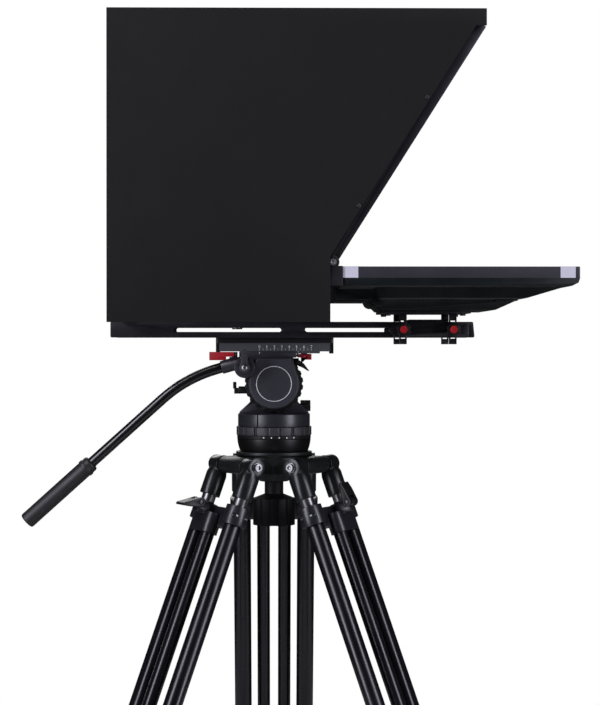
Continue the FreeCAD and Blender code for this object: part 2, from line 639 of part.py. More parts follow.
def tilt_brake_lever():
    """Small hooked lever on the pan housing's back."""
    height = "tilt_height - 9"
    shaft = rod("2.5", "-46", "-shoulder_half + 17", "x", ("-6", height))
    hub = rod("5", "-48", "-shoulder_half - slip", "x", ("-6", height))
    shank = block("-54", "-46", "-9", "-3", f"{height} - 5", f"{height} + 3")
    hook = block("-55.5", "-51", "-9", "-3", f"{height} + 2", f"{height} + 11")
    node("tilt_brake_lever", fuse(shaft, hub, shank, hook))


def blade_lever():
    """Curved blade lever on the front of the yoke: it frees the counterbalance."""
    height = "yoke_top - 6"
    hub = rod("5", "yoke_front + slip", "yoke_front + 8", "x", ("blade_y", height))
    blade = body("blade")
    outline = sketch_on(blade, "XZ_Plane", "-5")
    corners(outline, [("yoke_front + 2", f"{height} + 3.5"), ("yoke_front + 9", f"{height} + 2"),
                      ("yoke_front + 15", f"{height} - 2.5"), ("yoke_front + 22", f"{height} - 12"),
                      ("yoke_front + 20.5", f"{height} - 12.6"), ("yoke_front + 13", f"{height} - 8"),
                      ("yoke_front + 6", f"{height} - 5")])
    pad(blade, outline, "7", both_ways=True)
    blade.setExpression("Placement.Base.y", bound("blade_y - 5"))
    bore = rod("small_pin + fit", "yoke_front - 1", "yoke_front + 8.1", "x", ("blade_y", height))
    node("counterbalance_lever", cut(fuse(hub, blade), bore))


def plate_clamp():
    """Dovetail receiver on the yoke, with the pins of the red lever and the red catch."""
    base = block("clamp_back", "clamp_front", "-clamp_half", "clamp_half", "yoke_top", "plate_bottom - slip")
    groove = block("clamp_back - 1", "clamp_front + 1", "-groove_half", "groove_half",
                   "plate_bottom - tongue_depth - slip", "plate_bottom")
    slot = rod("dial_radius + dial_gap", "-dial_outer - slip", "-dial_inner + slip", "y", ("0", "tilt_height"))
    tab = block("clamp_back - 13", "clamp_back + 1.5", "-31", "-20", "yoke_top - 3", "yoke_top + 1")
    notch = block("yoke_back", "clamp_back + 40", "-40", "40", "yoke_top - 4", "yoke_top")
    pin = rod("small_pin", "yoke_top", "plate_bottom - slip - 0.5", "z", ("clamp_back - 7", "red_lever_y"))
    shelf = block("clamp_front - 1", "clamp_front + 7", "-6", "6", "yoke_top + 1", "yoke_top + 4")
    axle = rod("catch_pin", "-9", "9", "y", ("clamp_front + 5.5", "yoke_top + 2.5"))
    node("plate_clamp", cut(fuse(base, cut(tab, notch), pin, shelf, axle), groove, slot))


def clamp_lever():
    """Red lever that clamps the plate. Its hub turns on the receiver's upright pin."""
    top = "plate_bottom - slip - 0.3"
    hub = rod("5", "yoke_top + 1 + slip", top, "z", ("clamp_back - 7", "red_lever_y"))
    neck = block("clamp_back - 20", "clamp_back - 7", "red_lever_y - 5", "red_lever_y + 5",
                 "yoke_top + 1 + slip", top)
    paddle = block("clamp_back - 40", "clamp_back - 17.5", "red_lever_y - 5", "red_lever_y + 5",
                   "yoke_top - 3.5", top)
    bore = rod("small_pin + fit", "yoke_top", top + " + 1", "z", ("clamp_back - 7", "red_lever_y"))
    node("clamp_lever", cut(fuse(hub, neck, paddle), bore))


def safety_catch():
    """Red spring catch under the front of the plate."""
    grip = block("clamp_front + 9", "clamp_front + 21", "-6", "6", "yoke_top - 3", "yoke_top + 5")
    cheeks = [block("clamp_front + 2", "clamp_front + 10", y0, y1, "yoke_top", "yoke_top + 5")
              for y0, y1 in (("-9", "-6.3"), ("6.3", "9"))]
    bridge = block("clamp_front + 8", "clamp_front + 12", "-9", "9", "yoke_top", "yoke_top + 5")
    bore = rod("catch_pin + fit", "-10", "10", "y", ("clamp_front + 5.5", "yoke_top + 2.5"))
    node("safety_catch", cut(fuse(grip, *cheeks, bridge), bore))


def sliding_plate():
    """Camera plate: dovetail tongue, pale lower layer, dark upper layer and bevelled ends."""
    plate = body("sliding_plate")
    side = sketch_on(plate, "XZ_Plane")
    corners(side, [("plate_back + 4", "plate_bottom"), ("plate_front - 4", "plate_bottom"),
                   ("plate_front", "plate_bottom + 4"), ("plate_front", "plate_top"),
                   ("plate_back", "plate_top"), ("plate_back", "plate_bottom + 4")])
    pad(plate, side, "2 * plate_half", both_ways=True)
    rounded(plate, 3, runs_along((0, 0, 1)))
    tongue = block("tongue_back", "tongue_front", "-groove_half + slip", "groove_half - slip",
                   "plate_bottom - tongue_depth", "plate_bottom")
    node("sliding_plate", fuse(plate, tongue))


def bar_path():
    """The pan bar's centre line: two straight runs joined by one arc, from the clamp outwards."""
    knee = FreeCAD.Vector(size("bar_knee_x"), -size("bar_offset"), size("bar_knee_height"))
    first = math.radians(size("bar_first_slope"))
    second = math.radians(size("bar_second_slope"))
    inward = FreeCAD.Vector(math.cos(first), 0, math.sin(first))
    outward = FreeCAD.Vector(-math.cos(second), 0, -math.sin(second))
    tangent = size("bar_bend") * math.tan((second - first) / 2)
    start = knee + inward * size("bar_inner_run")
    end = knee + outward * size("bar_outer_run")
    leave, join = knee + inward * tangent, knee + outward * tangent
    middle_reach = size("bar_bend") * (1 / math.cos((second - first) / 2) - 1)
    middle = knee + (inward + outward).normalize() * middle_reach
    path = Part.Wire([Part.LineSegment(start, leave).toShape(), Part.Arc(leave, middle, join).toShape(),
                      Part.LineSegment(join, end).toShape()])
    return path, start, -inward, end, outward


def set_shape(label, shape):
    feature = DOC.addObject("Part::Feature", "Shaped")
    feature.Shape = shape
    return node(label, feature)


def pan_bar():
    path, start, heading, _, _ = bar_path()
    section = Part.Wire(Part.makeCircle(size("bar_radius"), start, heading))
    set_shape("pan_bar", path.makePipeShell([section], True, True))


def bar_grip():
    """Moulded grip over the bar's outer end: a flange, a long barrel and a rounded end."""
    _, _, _, end, outward = bar_path()
    radius, length = size("grip_radius"), size("grip_length")
    start = end - outward * (length - 3)
    barrel = Part.makeCylinder(radius, length, start, outward)
    ends = [edge for edge in barrel.Edges if isinstance(edge.Curve, Part.Circle)]
    flange = Part.makeCylinder(radius + 1, 5, start + outward * 8, outward)
    grip = barrel.makeFillet(3, ends).fuse(flange)
    bore = Part.makeCylinder(size("bar_radius") + size("fit"), length - 3, start, outward)
    set_shape("bar_grip", grip.cut(bore))


def bar_clamp():
    """Clamp on the rosette: a round boss and a sleeve that holds the bar."""
    _, start, heading, _, _ = bar_path()
    seat = FreeCAD.Vector(size("clamp_x"), -size("cap_outer") - size("slip"), size("clamp_height"))
    boss = Part.makeCylinder(size("clamp_radius"), size("clamp_depth"), seat, FreeCAD.Vector(0, -1, 0))
    around_bar = size("bar_radius") + size("sleeve_wall")
    sleeve = Part.makeCylinder(around_bar, size("sleeve_length"), start, heading)
    bore = Part.makeCylinder(size("bar_radius") + size("fit"), size("bar_inner_run"), start, heading)
    centre = Part.makeCylinder(size("clamp_screw") + size("fit"), 60,
                               FreeCAD.Vector(size("clamp_x"), -80, size("clamp_height")),
                               FreeCAD.Vector(0, 1, 0))
    set_shape("bar_clamp", boss.fuse(sleeve).cut(bore).cut(centre))


def bar_clamp_lever():
    """Tapered ratchet lever on the clamp, its hub and its bolt through the rosette."""
    lever = body("bar_clamp_lever")
    face = "cap_outer + slip + clamp_depth + slip"
    blade = sketch_on(lever, "XZ_Plane", face)
    corners(blade, [("clamp_x - 5.8", "clamp_height"), ("clamp_x + 5.8", "clamp_height"),
                    ("clamp_x + 2.2", "clamp_height + 24"), ("clamp_x - 3.2", "clamp_height + 24")])
    pad(lever, blade, "5")
    rounded(lever, 1.2, lambda edge: edge.BoundBox.YMax < -size("cap_outer") - 29 and edge.Length > 4)
    hub = sketch_on(lever, "XZ_Plane", face)
    circle(hub, "7", "clamp_x", "clamp_height")
    pad(lever, hub, "6")
    screw = rod("clamp_screw", "-cap_outer - clamp_depth - 6.8", "-cheek_outer + 6", "y",
                ("clamp_x", "clamp_height"))
    node("bar_clamp_lever", fuse(lever, screw))


# ---------------------------------------------------------------- base rails and camera bed

def base_rails():
    """Two slotted channels, the floor plate that bolts to the camera plate, and two cross members."""
    rail = body("rail")
    web = sketch_on(rail, "XZ_Plane", "rail_half - rail_depth")
    corners(web, [("rail_back", "plate_top"), ("rail_front", "plate_top"),
                  ("rail_front - 2", "plate_top + rail_height"), ("rail_back", "plate_top + rail_height")])
    pad(rail, web, "rail_depth")
    rounded(rail, 2, runs_along((0, 1, 0)))
    DOC.recompute()
    slots = []
    for start, end in (("rear_slot_start", "rear_slot_end"), ("front_slot_start", "front_slot_end")):
        half = "slot_height / 2"
        slots.append(block(f"{start} + {half}", f"{end} - {half}", "-rail_half - 1", "-rail_half + 5",
                           f"slot_middle - {half}", f"slot_middle + {half}"))
        slots += [rod(half, "-rail_half - 1", "-rail_half + 5", "y", (x, "slot_middle"))
                  for x in (f"{start} + {half}", f"{end} - {half}")]
    channel = block("rail_back - 1", "rail_front + 1", "-rail_half + rail_wall", "-rail_half + rail_depth + 1",
                    "plate_top + rail_wall", "plate_top + rail_height - rail_wall")
    near = cut(rail, channel, *slots)
    floor = block("floor_back", "floor_front", "-rail_half + rail_depth", "rail_half - rail_depth",
                  "plate_top", "plate_top + floor_thick")
    front_tie = block("frame_back - 4", "frame_front", "-rail_half + rail_wall", "rail_half - rail_wall",
                      "plate_top + rail_height - rail_wall - 4", "plate_top + rail_height - rail_wall")
    rear_bar = block("hood_back + 1", "hood_back + 13",
                     "-hood_half + hood_wall + 1", "hood_half - hood_wall - 1",
                     "plate_top + rail_height", "plate_top + rail_height + 8")
    node("base_rails", group(near, mirrored(near), floor, front_tie, rear_bar))


def camera_bed():
    top = "plate_top + rail_height + slip"
    deck = block("bed_back", "bed_front", "-bed_half", "bed_half", top, f"{top} + bed_thick")
    guide = block("bed_back + 10", "bed_front - 10", "-rail_half + rail_depth + 0.4",
                  "rail_half - rail_depth - 0.4", f"{top} - 6", top)
    hole = rod("screw_radius - 0.4 + fit", f"{top} - 7", f"{top} + bed_thick + 1", "z", ("screw_x", "0"))
    well = rod("7.5", f"{top} - 7", f"{top} - 1.5", "z", ("screw_x", "0"))
    windows = [rod("6", f"{top} - 7", f"{top} + 9", "z", ("screw_x", y)) for y in ("-28", "28")]
    node("camera_bed", cut(softened(fuse(deck, guide), 2, lambda e: runs_along((0, 0, 1))(e)
                                    and e.Length < 4.5 and abs(e.BoundBox.YMax) > 45), hole, well, *windows))


def camera_screw():
    top = "plate_top + rail_height + slip"
    head = rod("7", f"{top} - 10", f"{top} - 1.5 - slip", "z", ("screw_x", "0"))
    neck = rod("screw_radius - 0.4", f"{top} - 2", f"{top} + bed_thick + slip", "z", ("screw_x", "0"))
    thread = rod("screw_radius", f"{top} + bed_thick + slip", f"{top} + bed_thick + slip + screw_length",
                 "z", ("screw_x", "0"))
    node("camera_screw", fuse(head, neck, thread))


# ---------------------------------------------------------------- front frame, glass and hood

def glass_uprights():
    """Front frame: a bar across the rails, two uprights and the lugs of the glass hinge."""
    bar = block("frame_back", "frame_front", "-frame_half", "frame_half",
                "plate_top + rail_height", "frame_bar_top")
    pieces = [bar]
    for side in ("-", ""):
        low, high = ("-frame_half", "-frame_half + 9") if side else ("frame_half - 9", "frame_half")
        pieces.append(block("frame_back", "frame_front", low, high, "frame_bar_top", "frame_top"))
        low, high = ("-frame_half", "-frame_half + 2.4") if side else ("frame_half - 2.4", "frame_half")
        pieces.append(block("frame_front - 2", "frame_front + 16", low, high, "frame_top - 19", "frame_top + 5"))
        pieces.append(rod("8", low, high, "y", ("glass_pivot_x", "glass_pivot_height")))
        inner = ("-frame_half", "-glass_half + 10") if side else ("glass_half - 10", "frame_half")
        pieces.append(rod("2.5", *inner, "y", ("glass_pivot_x", "glass_pivot_height")))
    node("glass_uprights", fuse(*pieces))


def glass_place():
    """The glass frame's own frame: +X up the slope, +Z towards the hood."""
    base = FreeCAD.Vector(size("glass_pivot_x"), 0, size("glass_pivot_height"))
    return FreeCAD.Placement(base, FreeCAD.Rotation(FreeCAD.Vector(0, 1, 0), -size("glass_slope")))


def glass_frame():
    rim = block("-5", "glass_length - 5", "-glass_half", "glass_half", "-glass_face", "glass_depth - glass_face")
    window = block("glass_border - 5", "glass_length - glass_border - 5", "-glass_half + glass_border",
                   "glass_half - glass_border", "-glass_face - 1", "glass_depth")
    rebate = block("glass_border - 9", "glass_length - glass_border - 1", "-glass_half + glass_border - 4",
                   "glass_half - glass_border + 4", "0", "glass_thick + 0.1")
    bores = [rod("2.5 + fit", low, high, "y", ("0", "0"))
             for low, high in (("-glass_half - 1", "-glass_half + 11"), ("glass_half - 11", "glass_half + 1"))]
    frame = cut(rim, window, rebate, *bores)
    frame.Placement = glass_place()
    node("glass_frame", frame)


def beam_splitter():
    pane = block("glass_border - 8.9", "glass_length - glass_border - 1.1", "-glass_half + glass_border - 3.9",
                 "glass_half - glass_border + 3.9", "0", "glass_thick")
    tilted = group(pane)
    tilted.Placement = glass_place()
    node("beam_splitter_glass", tilted)


def hood():
    """Hood: two side panels and a top, folded from one board, open below, behind and over the glass."""
    slope = "tan(glass_slope)"
    run = "hood_inset / sin(glass_slope)"
    face_x = "glass_pivot_x + glass_face / sin(glass_slope)"
    low = f"glass_pivot_height + (frame_front + 1 - ({face_x}) + {run}) * {slope}"
    high = f"{face_x} - {run} + (hood_nose - glass_pivot_height) / {slope}"
    shell = body("hood")
    side = sketch_on(shell, "XZ_Plane")
    corners(side, [("hood_back", "hood_bottom"), ("frame_front + 1", "hood_bottom"),
                   ("frame_front + 1", low), (high, "hood_nose"), ("hood_front", "hood_nose"),
                   ("hood_front", "hood_top"), ("hood_back", "hood_top")])
    pad(shell, side, "2 * hood_half", both_ways=True)
    DOC.recompute()
    hollow = sketch_on(shell, "YZ_Plane", "hood_back - 1")
    corners(hollow, [("-hood_half + hood_wall", "hood_bottom - 1"), ("hood_half - hood_wall", "hood_bottom - 1"),
                     ("hood_half - hood_wall", "hood_top - hood_wall"),
                     ("-hood_half + hood_wall", "hood_top - hood_wall")])
    feature = pocket(shell, hollow, "hood_front - hood_back + 2", both_ways=False)
    feature.Reversed = True
    node("hood", shell)


def hood_hoop():
    """Bent rod that stands on the rear cross member and carries the hood's back edge."""
    radius, bend = size("hoop_radius"), 24.0
    x, half = size("hoop_x"), size("hood_half") - size("hood_wall") - 2 * radius + 3
    low, high = size("plate_top") + size("rail_height") + 8, size("hood_top") - size("hood_wall") - radius - 0.3
    at = lambda y, z: FreeCAD.Vector(x, y, z)
    short = bend * (1 - math.sqrt(0.5))
    edges = [Part.LineSegment(at(-half, low), at(-half, high - bend)).toShape(),
             Part.Arc(at(-half, high - bend), at(-half + short, high - short), at(-half + bend, high)).toShape(),
             Part.LineSegment(at(-half + bend, high), at(half - bend, high)).toShape(),
             Part.Arc(at(half - bend, high), at(half - short, high - short), at(half, high - bend)).toShape(),
             Part.LineSegment(at(half, high - bend), at(half, low)).toShape()]
    section = Part.Wire(Part.makeCircle(radius, at(-half, low), FreeCAD.Vector(0, 0, 1)))
    set_shape("hood_hoop", Part.Wire(edges).makePipeShell([section], True, True))


# ---------------------------------------------------------------- monitor and carriage

def monitor():
    """Bezel, screen and the stepped back shell, lying face up."""
    frame = block("monitor_back", "monitor_front", "-monitor_half", "monitor_half",
                  "bezel_bottom", "monitor_top")
    window = block("monitor_back + bezel_width", "monitor_front - bezel_width", "-monitor_half + bezel_width",
                   "monitor_half - bezel_width", "bezel_bottom - 1", "monitor_top + 1")
    seat = block("monitor_back + 8", "monitor_front - 8", "-monitor_half + 8", "monitor_half - 8",
                 "bezel_bottom - 1", "monitor_top - 1.5")
    bezel = cut(frame, window, seat)
    node("monitor_bezel", softened(bezel, 1.5, lambda e: runs_along((0, 0, 1))(e) and e.Length > 13))
    node("monitor_screen", group(block("monitor_back + 8", "monitor_front - 8", "-monitor_half + 8",
                                       "monitor_half - 8", "monitor_top - 6", "monitor_top - 1.5")))
    back = body("monitor_back")
    tray = sketch_on(back, "XZ_Plane")
    corners(tray, [("monitor_back", "bezel_bottom"), ("monitor_back + 2", "shell_bottom + 3"),
                   ("monitor_back + 8", "shell_bottom"), ("monitor_front - 10", "shell_bottom"),
                   ("monitor_front - 2", "shell_bottom + 4"), ("monitor_front", "bezel_bottom")])
    pad(back, tray, "2 * monitor_half", both_ways=True)
    bulge = sketch_on(back, "XZ_Plane")
    corners(bulge, [("monitor_back + 50", "shell_bottom + 1"), ("monitor_back + 58", "bulge_bottom"),
                    ("monitor_front - 58", "bulge_bottom"), ("monitor_front - 12", "shell_bottom"),
                    ("monitor_front - 12", "shell_bottom + 1")])
    pad(back, bulge, "1.56 * monitor_half", both_ways=True)
    core = sketch_on(back, "XZ_Plane")
    corners(core, [("vesa_back - 14", "bulge_bottom + 1"), ("vesa_back", "plate_seat"),
                   ("vesa_front + 28", "plate_seat"), ("monitor_front - 57", "bulge_bottom"),
                   ("monitor_front - 57", "bulge_bottom + 1")])
    pad(back, core, "vesa_half * 3.4", both_ways=True)
    chamber = [block("monitor_back + 10", "monitor_front - 14", "-monitor_half + 4", "monitor_half - 4",
                     "shell_bottom + shell_wall", "bezel_bottom + 1"),
               block("monitor_back + 62", "monitor_front - 64", "-0.75 * monitor_half", "0.75 * monitor_half",
                     "bulge_bottom + shell_wall", "bezel_bottom"),
               block("vesa_back + 3", "vesa_front + 20", "-vesa_half * 1.62", "vesa_half * 1.62",
                     "plate_seat + shell_wall", "bezel_bottom")]
    inlet = block("monitor_back + 3", "monitor_back + 56", "-118", "118", "bulge_bottom", "shell_bottom + 1")
    boss = rod("10", "-118", "118", "y", ("monitor_back + 59", "bulge_bottom + 2"))
    node("monitor_back", fuse(cut(back, *chamber), cut(fuse(inlet, boss), chamber[1])))


def vesa_plate():
    plate = block("vesa_back", "vesa_front", "-vesa_half", "vesa_half", "plate_seat - vesa_thick", "plate_seat")
    middle = "(vesa_back + vesa_front) / 2"
    screws = []
    holes = []
    for side_x in ("-", "+"):
        for side_y in ("-", ""):
            at = (f"{middle} {side_x} vesa_pitch / 2", f"{side_y}vesa_pitch / 2")
            screws.append(rod("3.8", "plate_seat - vesa_thick - 3", "plate_seat - vesa_thick", "z", at))
            holes.append(rod("9", "plate_seat - vesa_thick - 1", "plate_seat + 1", "z",
                             (f"{middle} {side_x} vesa_pitch / 5", f"{side_y}vesa_pitch / 5")))
    node("vesa_plate", group(cut(plate, *holes), *screws))


def monitor_posts():
    """Four slotted posts that hang from the VESA plate outside the rails."""
    inner = "rail_half + slip + cheek_plate + slip"
    posts = []
    for x in ("rear_post_x", "front_post_x"):
        bar = block(f"{x} - post_width / 2", f"{x} + post_width / 2", f"-({inner} + post_depth)", f"-({inner})",
                    "post_bottom", "plate_seat - vesa_thick")
        slot = block(f"{x} - 3.2", f"{x} + 3.2", f"-({inner} + post_depth + 1)", f"-({inner}) + 1",
                     "slot_middle - 12", "slot_middle + 12")
        post = cut(bar, slot)
        posts += [post, mirrored(post)]
    node("monitor_posts", group(*posts))


def monitor_carriage():
    """Saddle over the rails: two cheek plates, a bridge, and the fixed bolts of the far side."""
    cheek = body("carriage_cheek")
    side = sketch_on(cheek, "XZ_Plane", "rail_half + slip")
    corners(side, [("carriage_back", "slot_middle - 2"), ("carriage_back + 8", "plate_top + 1"),
                   ("carriage_front", "plate_top + 1"), ("carriage_front", "plate_top + rail_height - 1"),
                   ("carriage_back + 8", "plate_top + rail_height - 1"), ("carriage_back", "slot_middle + 2")])
    pad(cheek, side, "cheek_plate")
    lips = [block("rear_post_x + 8.6", "front_post_x - 8", low, high, "plate_top + rail_height - 2",
                  "plate_top + rail_height + 3") for low, high in (
                      ("-rail_half - slip - cheek_plate", "-rail_half - slip"),
                      ("rail_half + slip", "rail_half + slip + cheek_plate"))]
    bridge = block("rear_post_x + 8.6", "front_post_x - 8", "-rail_half - slip - cheek_plate",
                   "rail_half + slip + cheek_plate", "plate_top + rail_height + slip",
                   "plate_top + rail_height + 3")
    saddle = fuse(cheek, mirrored(cheek), *lips, bridge)
    holes = [rod("3 + fit", "-rail_half - 8", "-rail_half + 4", "y", (x, "slot_middle"))
             for x in ("rear_post_x", "front_post_x")]
    bolts = []
    for x in ("rear_post_x", "front_post_x"):
        outer = "rail_half + slip + cheek_plate + slip + post_depth + slip"
        bolts += [rod("2.8", "rail_half - rail_wall - 2", outer, "y", (x, "slot_middle")),
                  rod("5.5", outer, f"{outer} + 4", "y", (x, "slot_middle"))]
    node("monitor_carriage", fuse(cut(saddle, *holes), *bolts))


def clamp_knob(label, x):
    """Lobed knob with its bolt and the nut that bears behind the rail's slot."""
    knob = body(label)
    face = "rail_half + slip + cheek_plate + slip + post_depth + slip"
    disc = sketch_on(knob, "XZ_Plane", face)
    circle(disc, "knob_size", "0", "0")
    pad(knob, disc, "knob_depth")
    DOC.recompute()
    bite = sketch_on(knob, "XZ_Plane", f"{face} - 1")
    circle(bite, "4", "knob_size + 2.4", "0")
    feature = pocket(knob, bite, "knob_depth + 2", both_ways=False)
    feature.Reversed = True
    around(knob, feature, 6, "Y_Axis")
    place(knob, x, "0", "slot_middle")
    bolt = rod("3", "-rail_half + rail_wall + 3", f"-({face})", "y", (x, "slot_middle"))
    bolt.setExpression("Height", bound(f"({face}) - rail_half + rail_wall + slip + 3"))
    place(bolt, x, f"-({face})", "slot_middle")
    behind = "-rail_half + rail_wall + slip"
    nut = rod("5.5", behind, f"{behind} + 3", "y", (x, "slot_middle"))
    node(label, fuse(knob, bolt, nut))


def write_parts():
    """Stops on any failed object or bad shape, then writes one file for each sub-part."""
    DOC.recompute()
    failed = [o.Label for o in DOC.Objects if "Invalid" in o.State or "Error" in o.State]
    if failed:
        raise RuntimeError(f"failed objects: {failed}")
    os.makedirs("parts", exist_ok=True)
    bad = [item.Label for item in NODES
           if item.Shape.isNull() or not item.Shape.isValid() or item.Shape.Volume <= 0]
    if bad:
        raise RuntimeError(f"bad shapes: {bad}")
    for item in NODES:
        item.Shape.exportStep(os.path.join("parts", item.Label + ".step"))
        box = item.Shape.BoundBox
        print(f"{item.Label:24s} solids {len(item.Shape.Solids):2d} volume {item.Shape.Volume / 1000:9.2f} cm3  "
              f"x {box.XMin:7.1f} {box.XMax:7.1f}  y {box.YMin:7.1f} {box.YMax:7.1f}  "
              f"z {box.ZMin:7.1f} {box.ZMax:7.1f}")
    print(len(NODES), "sub-parts")


fill_sheet()
crown()
hinge_bolts()
tie_down_knob()
legs()
half_ball()
pan_drag_ring()
pan_housing()
pan_brake_knob()
tilt_body()
side_caps()
tilt_drag_dial()
tilt_brake_lever()
blade_lever()
plate_clamp()
clamp_lever()
safety_catch()
sliding_plate()
pan_bar()
bar_grip()
bar_clamp()
bar_clamp_lever()
base_rails()
camera_bed()
camera_screw()
glass_uprights()
glass_frame()
beam_splitter()
hood()
hood_hoop()
monitor()
vesa_plate()
monitor_posts()
monitor_carriage()
clamp_knob("knob_rear", "rear_post_x")
clamp_knob("knob_front", "front_post_x")
write_parts()
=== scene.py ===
import json
import math

import bmesh
import bpy
from mathutils import Matrix, Vector

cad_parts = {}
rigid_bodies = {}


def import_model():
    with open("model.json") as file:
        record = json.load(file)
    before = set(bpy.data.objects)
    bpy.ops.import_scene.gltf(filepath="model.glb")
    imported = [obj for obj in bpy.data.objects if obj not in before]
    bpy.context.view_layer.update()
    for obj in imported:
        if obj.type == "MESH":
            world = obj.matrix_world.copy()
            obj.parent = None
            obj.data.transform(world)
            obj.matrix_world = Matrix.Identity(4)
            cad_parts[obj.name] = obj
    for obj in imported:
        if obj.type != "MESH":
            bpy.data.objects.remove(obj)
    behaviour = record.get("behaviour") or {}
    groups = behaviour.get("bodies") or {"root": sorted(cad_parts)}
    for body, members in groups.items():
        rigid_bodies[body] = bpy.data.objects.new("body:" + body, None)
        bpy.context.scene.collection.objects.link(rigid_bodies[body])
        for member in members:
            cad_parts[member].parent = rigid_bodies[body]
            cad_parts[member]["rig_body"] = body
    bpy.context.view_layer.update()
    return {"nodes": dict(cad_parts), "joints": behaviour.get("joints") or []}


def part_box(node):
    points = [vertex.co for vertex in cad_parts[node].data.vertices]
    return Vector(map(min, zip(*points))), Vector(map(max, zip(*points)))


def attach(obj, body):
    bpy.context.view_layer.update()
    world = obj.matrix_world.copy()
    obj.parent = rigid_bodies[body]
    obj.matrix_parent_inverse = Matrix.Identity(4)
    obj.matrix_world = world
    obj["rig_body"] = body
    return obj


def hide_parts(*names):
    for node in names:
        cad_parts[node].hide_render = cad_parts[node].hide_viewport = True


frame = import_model()
MM = 0.001
joints = {joint["name"]: joint for joint in frame["joints"]}


# Studio. A grey round floor under the stand, a white surround, and large soft lights: two tall
# strips in front for the long highlights on the tubes, a narrow one overhead and a panel behind.
AIM = Vector((0.0354, 0, 0.8718))
camera = bpy.data.objects.new("camera", bpy.data.cameras.new("camera"))
bpy.context.collection.objects.link(camera)
bpy.context.scene.camera = camera
camera.data.lens = 93.8
camera.data.sensor_width = 36
camera.location = (0, -2.5, 0.882)
camera.rotation_euler = (AIM - camera.location).to_track_quat("-Z", "Y").to_euler()

bpy.context.scene.view_settings.view_transform = "Standard"
surround = bpy.data.worlds.new("surround")
bpy.context.scene.world = surround
surround.use_nodes = True
sky = surround.node_tree
backdrop = sky.nodes["Background"]
backdrop.inputs["Color"].default_value = (1, 1, 1, 1)
room = sky.nodes.new("ShaderNodeBackground")
room.inputs["Color"].default_value = (0.93, 0.95, 1, 1)
room.inputs["Strength"].default_value = 0.025
seen = sky.nodes.new("ShaderNodeLightPath")
either = sky.nodes.new("ShaderNodeMixShader")
sky.links.new(seen.outputs["Is Camera Ray"], either.inputs[0])
sky.links.new(room.outputs[0], either.inputs[1])
sky.links.new(backdrop.outputs[0], either.inputs[2])
sky.links.new(either.outputs[0], sky.nodes["World Output"].inputs["Surface"])


def soft_panel(name, place, aim, width, height, power, colour):
    """A rectangle of light that the camera doesn't see."""
    lamp = bpy.data.lights.new(name, "AREA")
    lamp.shape = "RECTANGLE"
    lamp.size = width
    lamp.size_y = height
    lamp.energy = power
    lamp.color = colour
    panel = bpy.data.objects.new(name, lamp)
    bpy.context.collection.objects.link(panel)
    panel.location = place
    panel.rotation_euler = (Vector(aim) - Vector(place)).to_track_quat("-Z", "Y").to_euler()
    panel.visible_camera = False


soft_panel("left_strip", (-1.8, -1.6, 1.3), (0, 0, 0.7), 0.8, 3.2, 68, (0.88, 0.87, 1))
soft_panel("right_strip", (1.9, -1.4, 1.3), (0, 0, 0.7), 0.8, 3.2, 60, (0.88, 0.87, 1))
soft_panel("overhead", (0.1, -0.9, 2.9), (0, 0, 0.8), 2.4, 0.3, 14, (1, 1, 1))
soft_panel("behind", (-0.5, 2.4, 2.3), (0, 0, 0.9), 1.8, 1.4, 34, (1, 1, 1))


class Wire:
    """One socket in a finish, so that the finish's sums read as arithmetic."""

    def __init__(self, tree, socket=None):
        self.tree = tree
        self.socket = socket

    def node(self, kind, settings=None, out=0, **values):
        made = self.tree.nodes.new("ShaderNode" + kind)
        for key, value in (settings or {}).items():
            if key == "stops":
                ramp = made.color_ramp.elements
                while len(ramp) < len(value):
                    ramp.new(0.5)
                for element, (position, tone) in zip(ramp, value):
                    element.position = position
                    element.color = (tone, tone, tone, 1)
            else:
                setattr(made, key, value)
        for key, value in values.items():
            socket = made.inputs[int(key[1:])] if key[1:].isdigit() else made.inputs[key.replace("_", " ")]
            if isinstance(value, Wire):
                self.tree.links.new(value.socket, socket)
            else:
                socket.default_value = value
        return Wire(self.tree, made.outputs[out])

    def sum_of(self, operation, first, second):
        return self.node("Math", {"operation": operation}, i0=first, i1=second)

    def __add__(self, other):
        return self.sum_of("ADD", self, other)

    def __sub__(self, other):
        return self.sum_of("SUBTRACT", self, other)

    def __rsub__(self, other):
        return self.sum_of("SUBTRACT", other, self)

    def __mul__(self, other):
        return self.sum_of("MULTIPLY", self, other)

    __radd__ = __add__
    __rmul__ = __mul__

    def limited(self):
        return self.node("Clamp", Value=self)

    def blend(self, first, second):
        """A colour that goes from first to second as this socket goes from 0 to 1."""
        return self.node("Mix", {"data_type": "RGBA"}, out=2, i0=self, i6=first, i7=second)


def grey(tone, warmth=0.0):
    """A grey, made a little redder by warmth."""
    return (tone * (1 + warmth), tone, tone * (1 - warmth), 1)


EDGE_GAIN = 7
SMUDGE_SHARE = 0.2
SPECK_SHARE = 0.05
MEAN_LIFT = 0.12
WORN_GREY = grey(0.05)
COAT_ROUGHNESS = 0.22


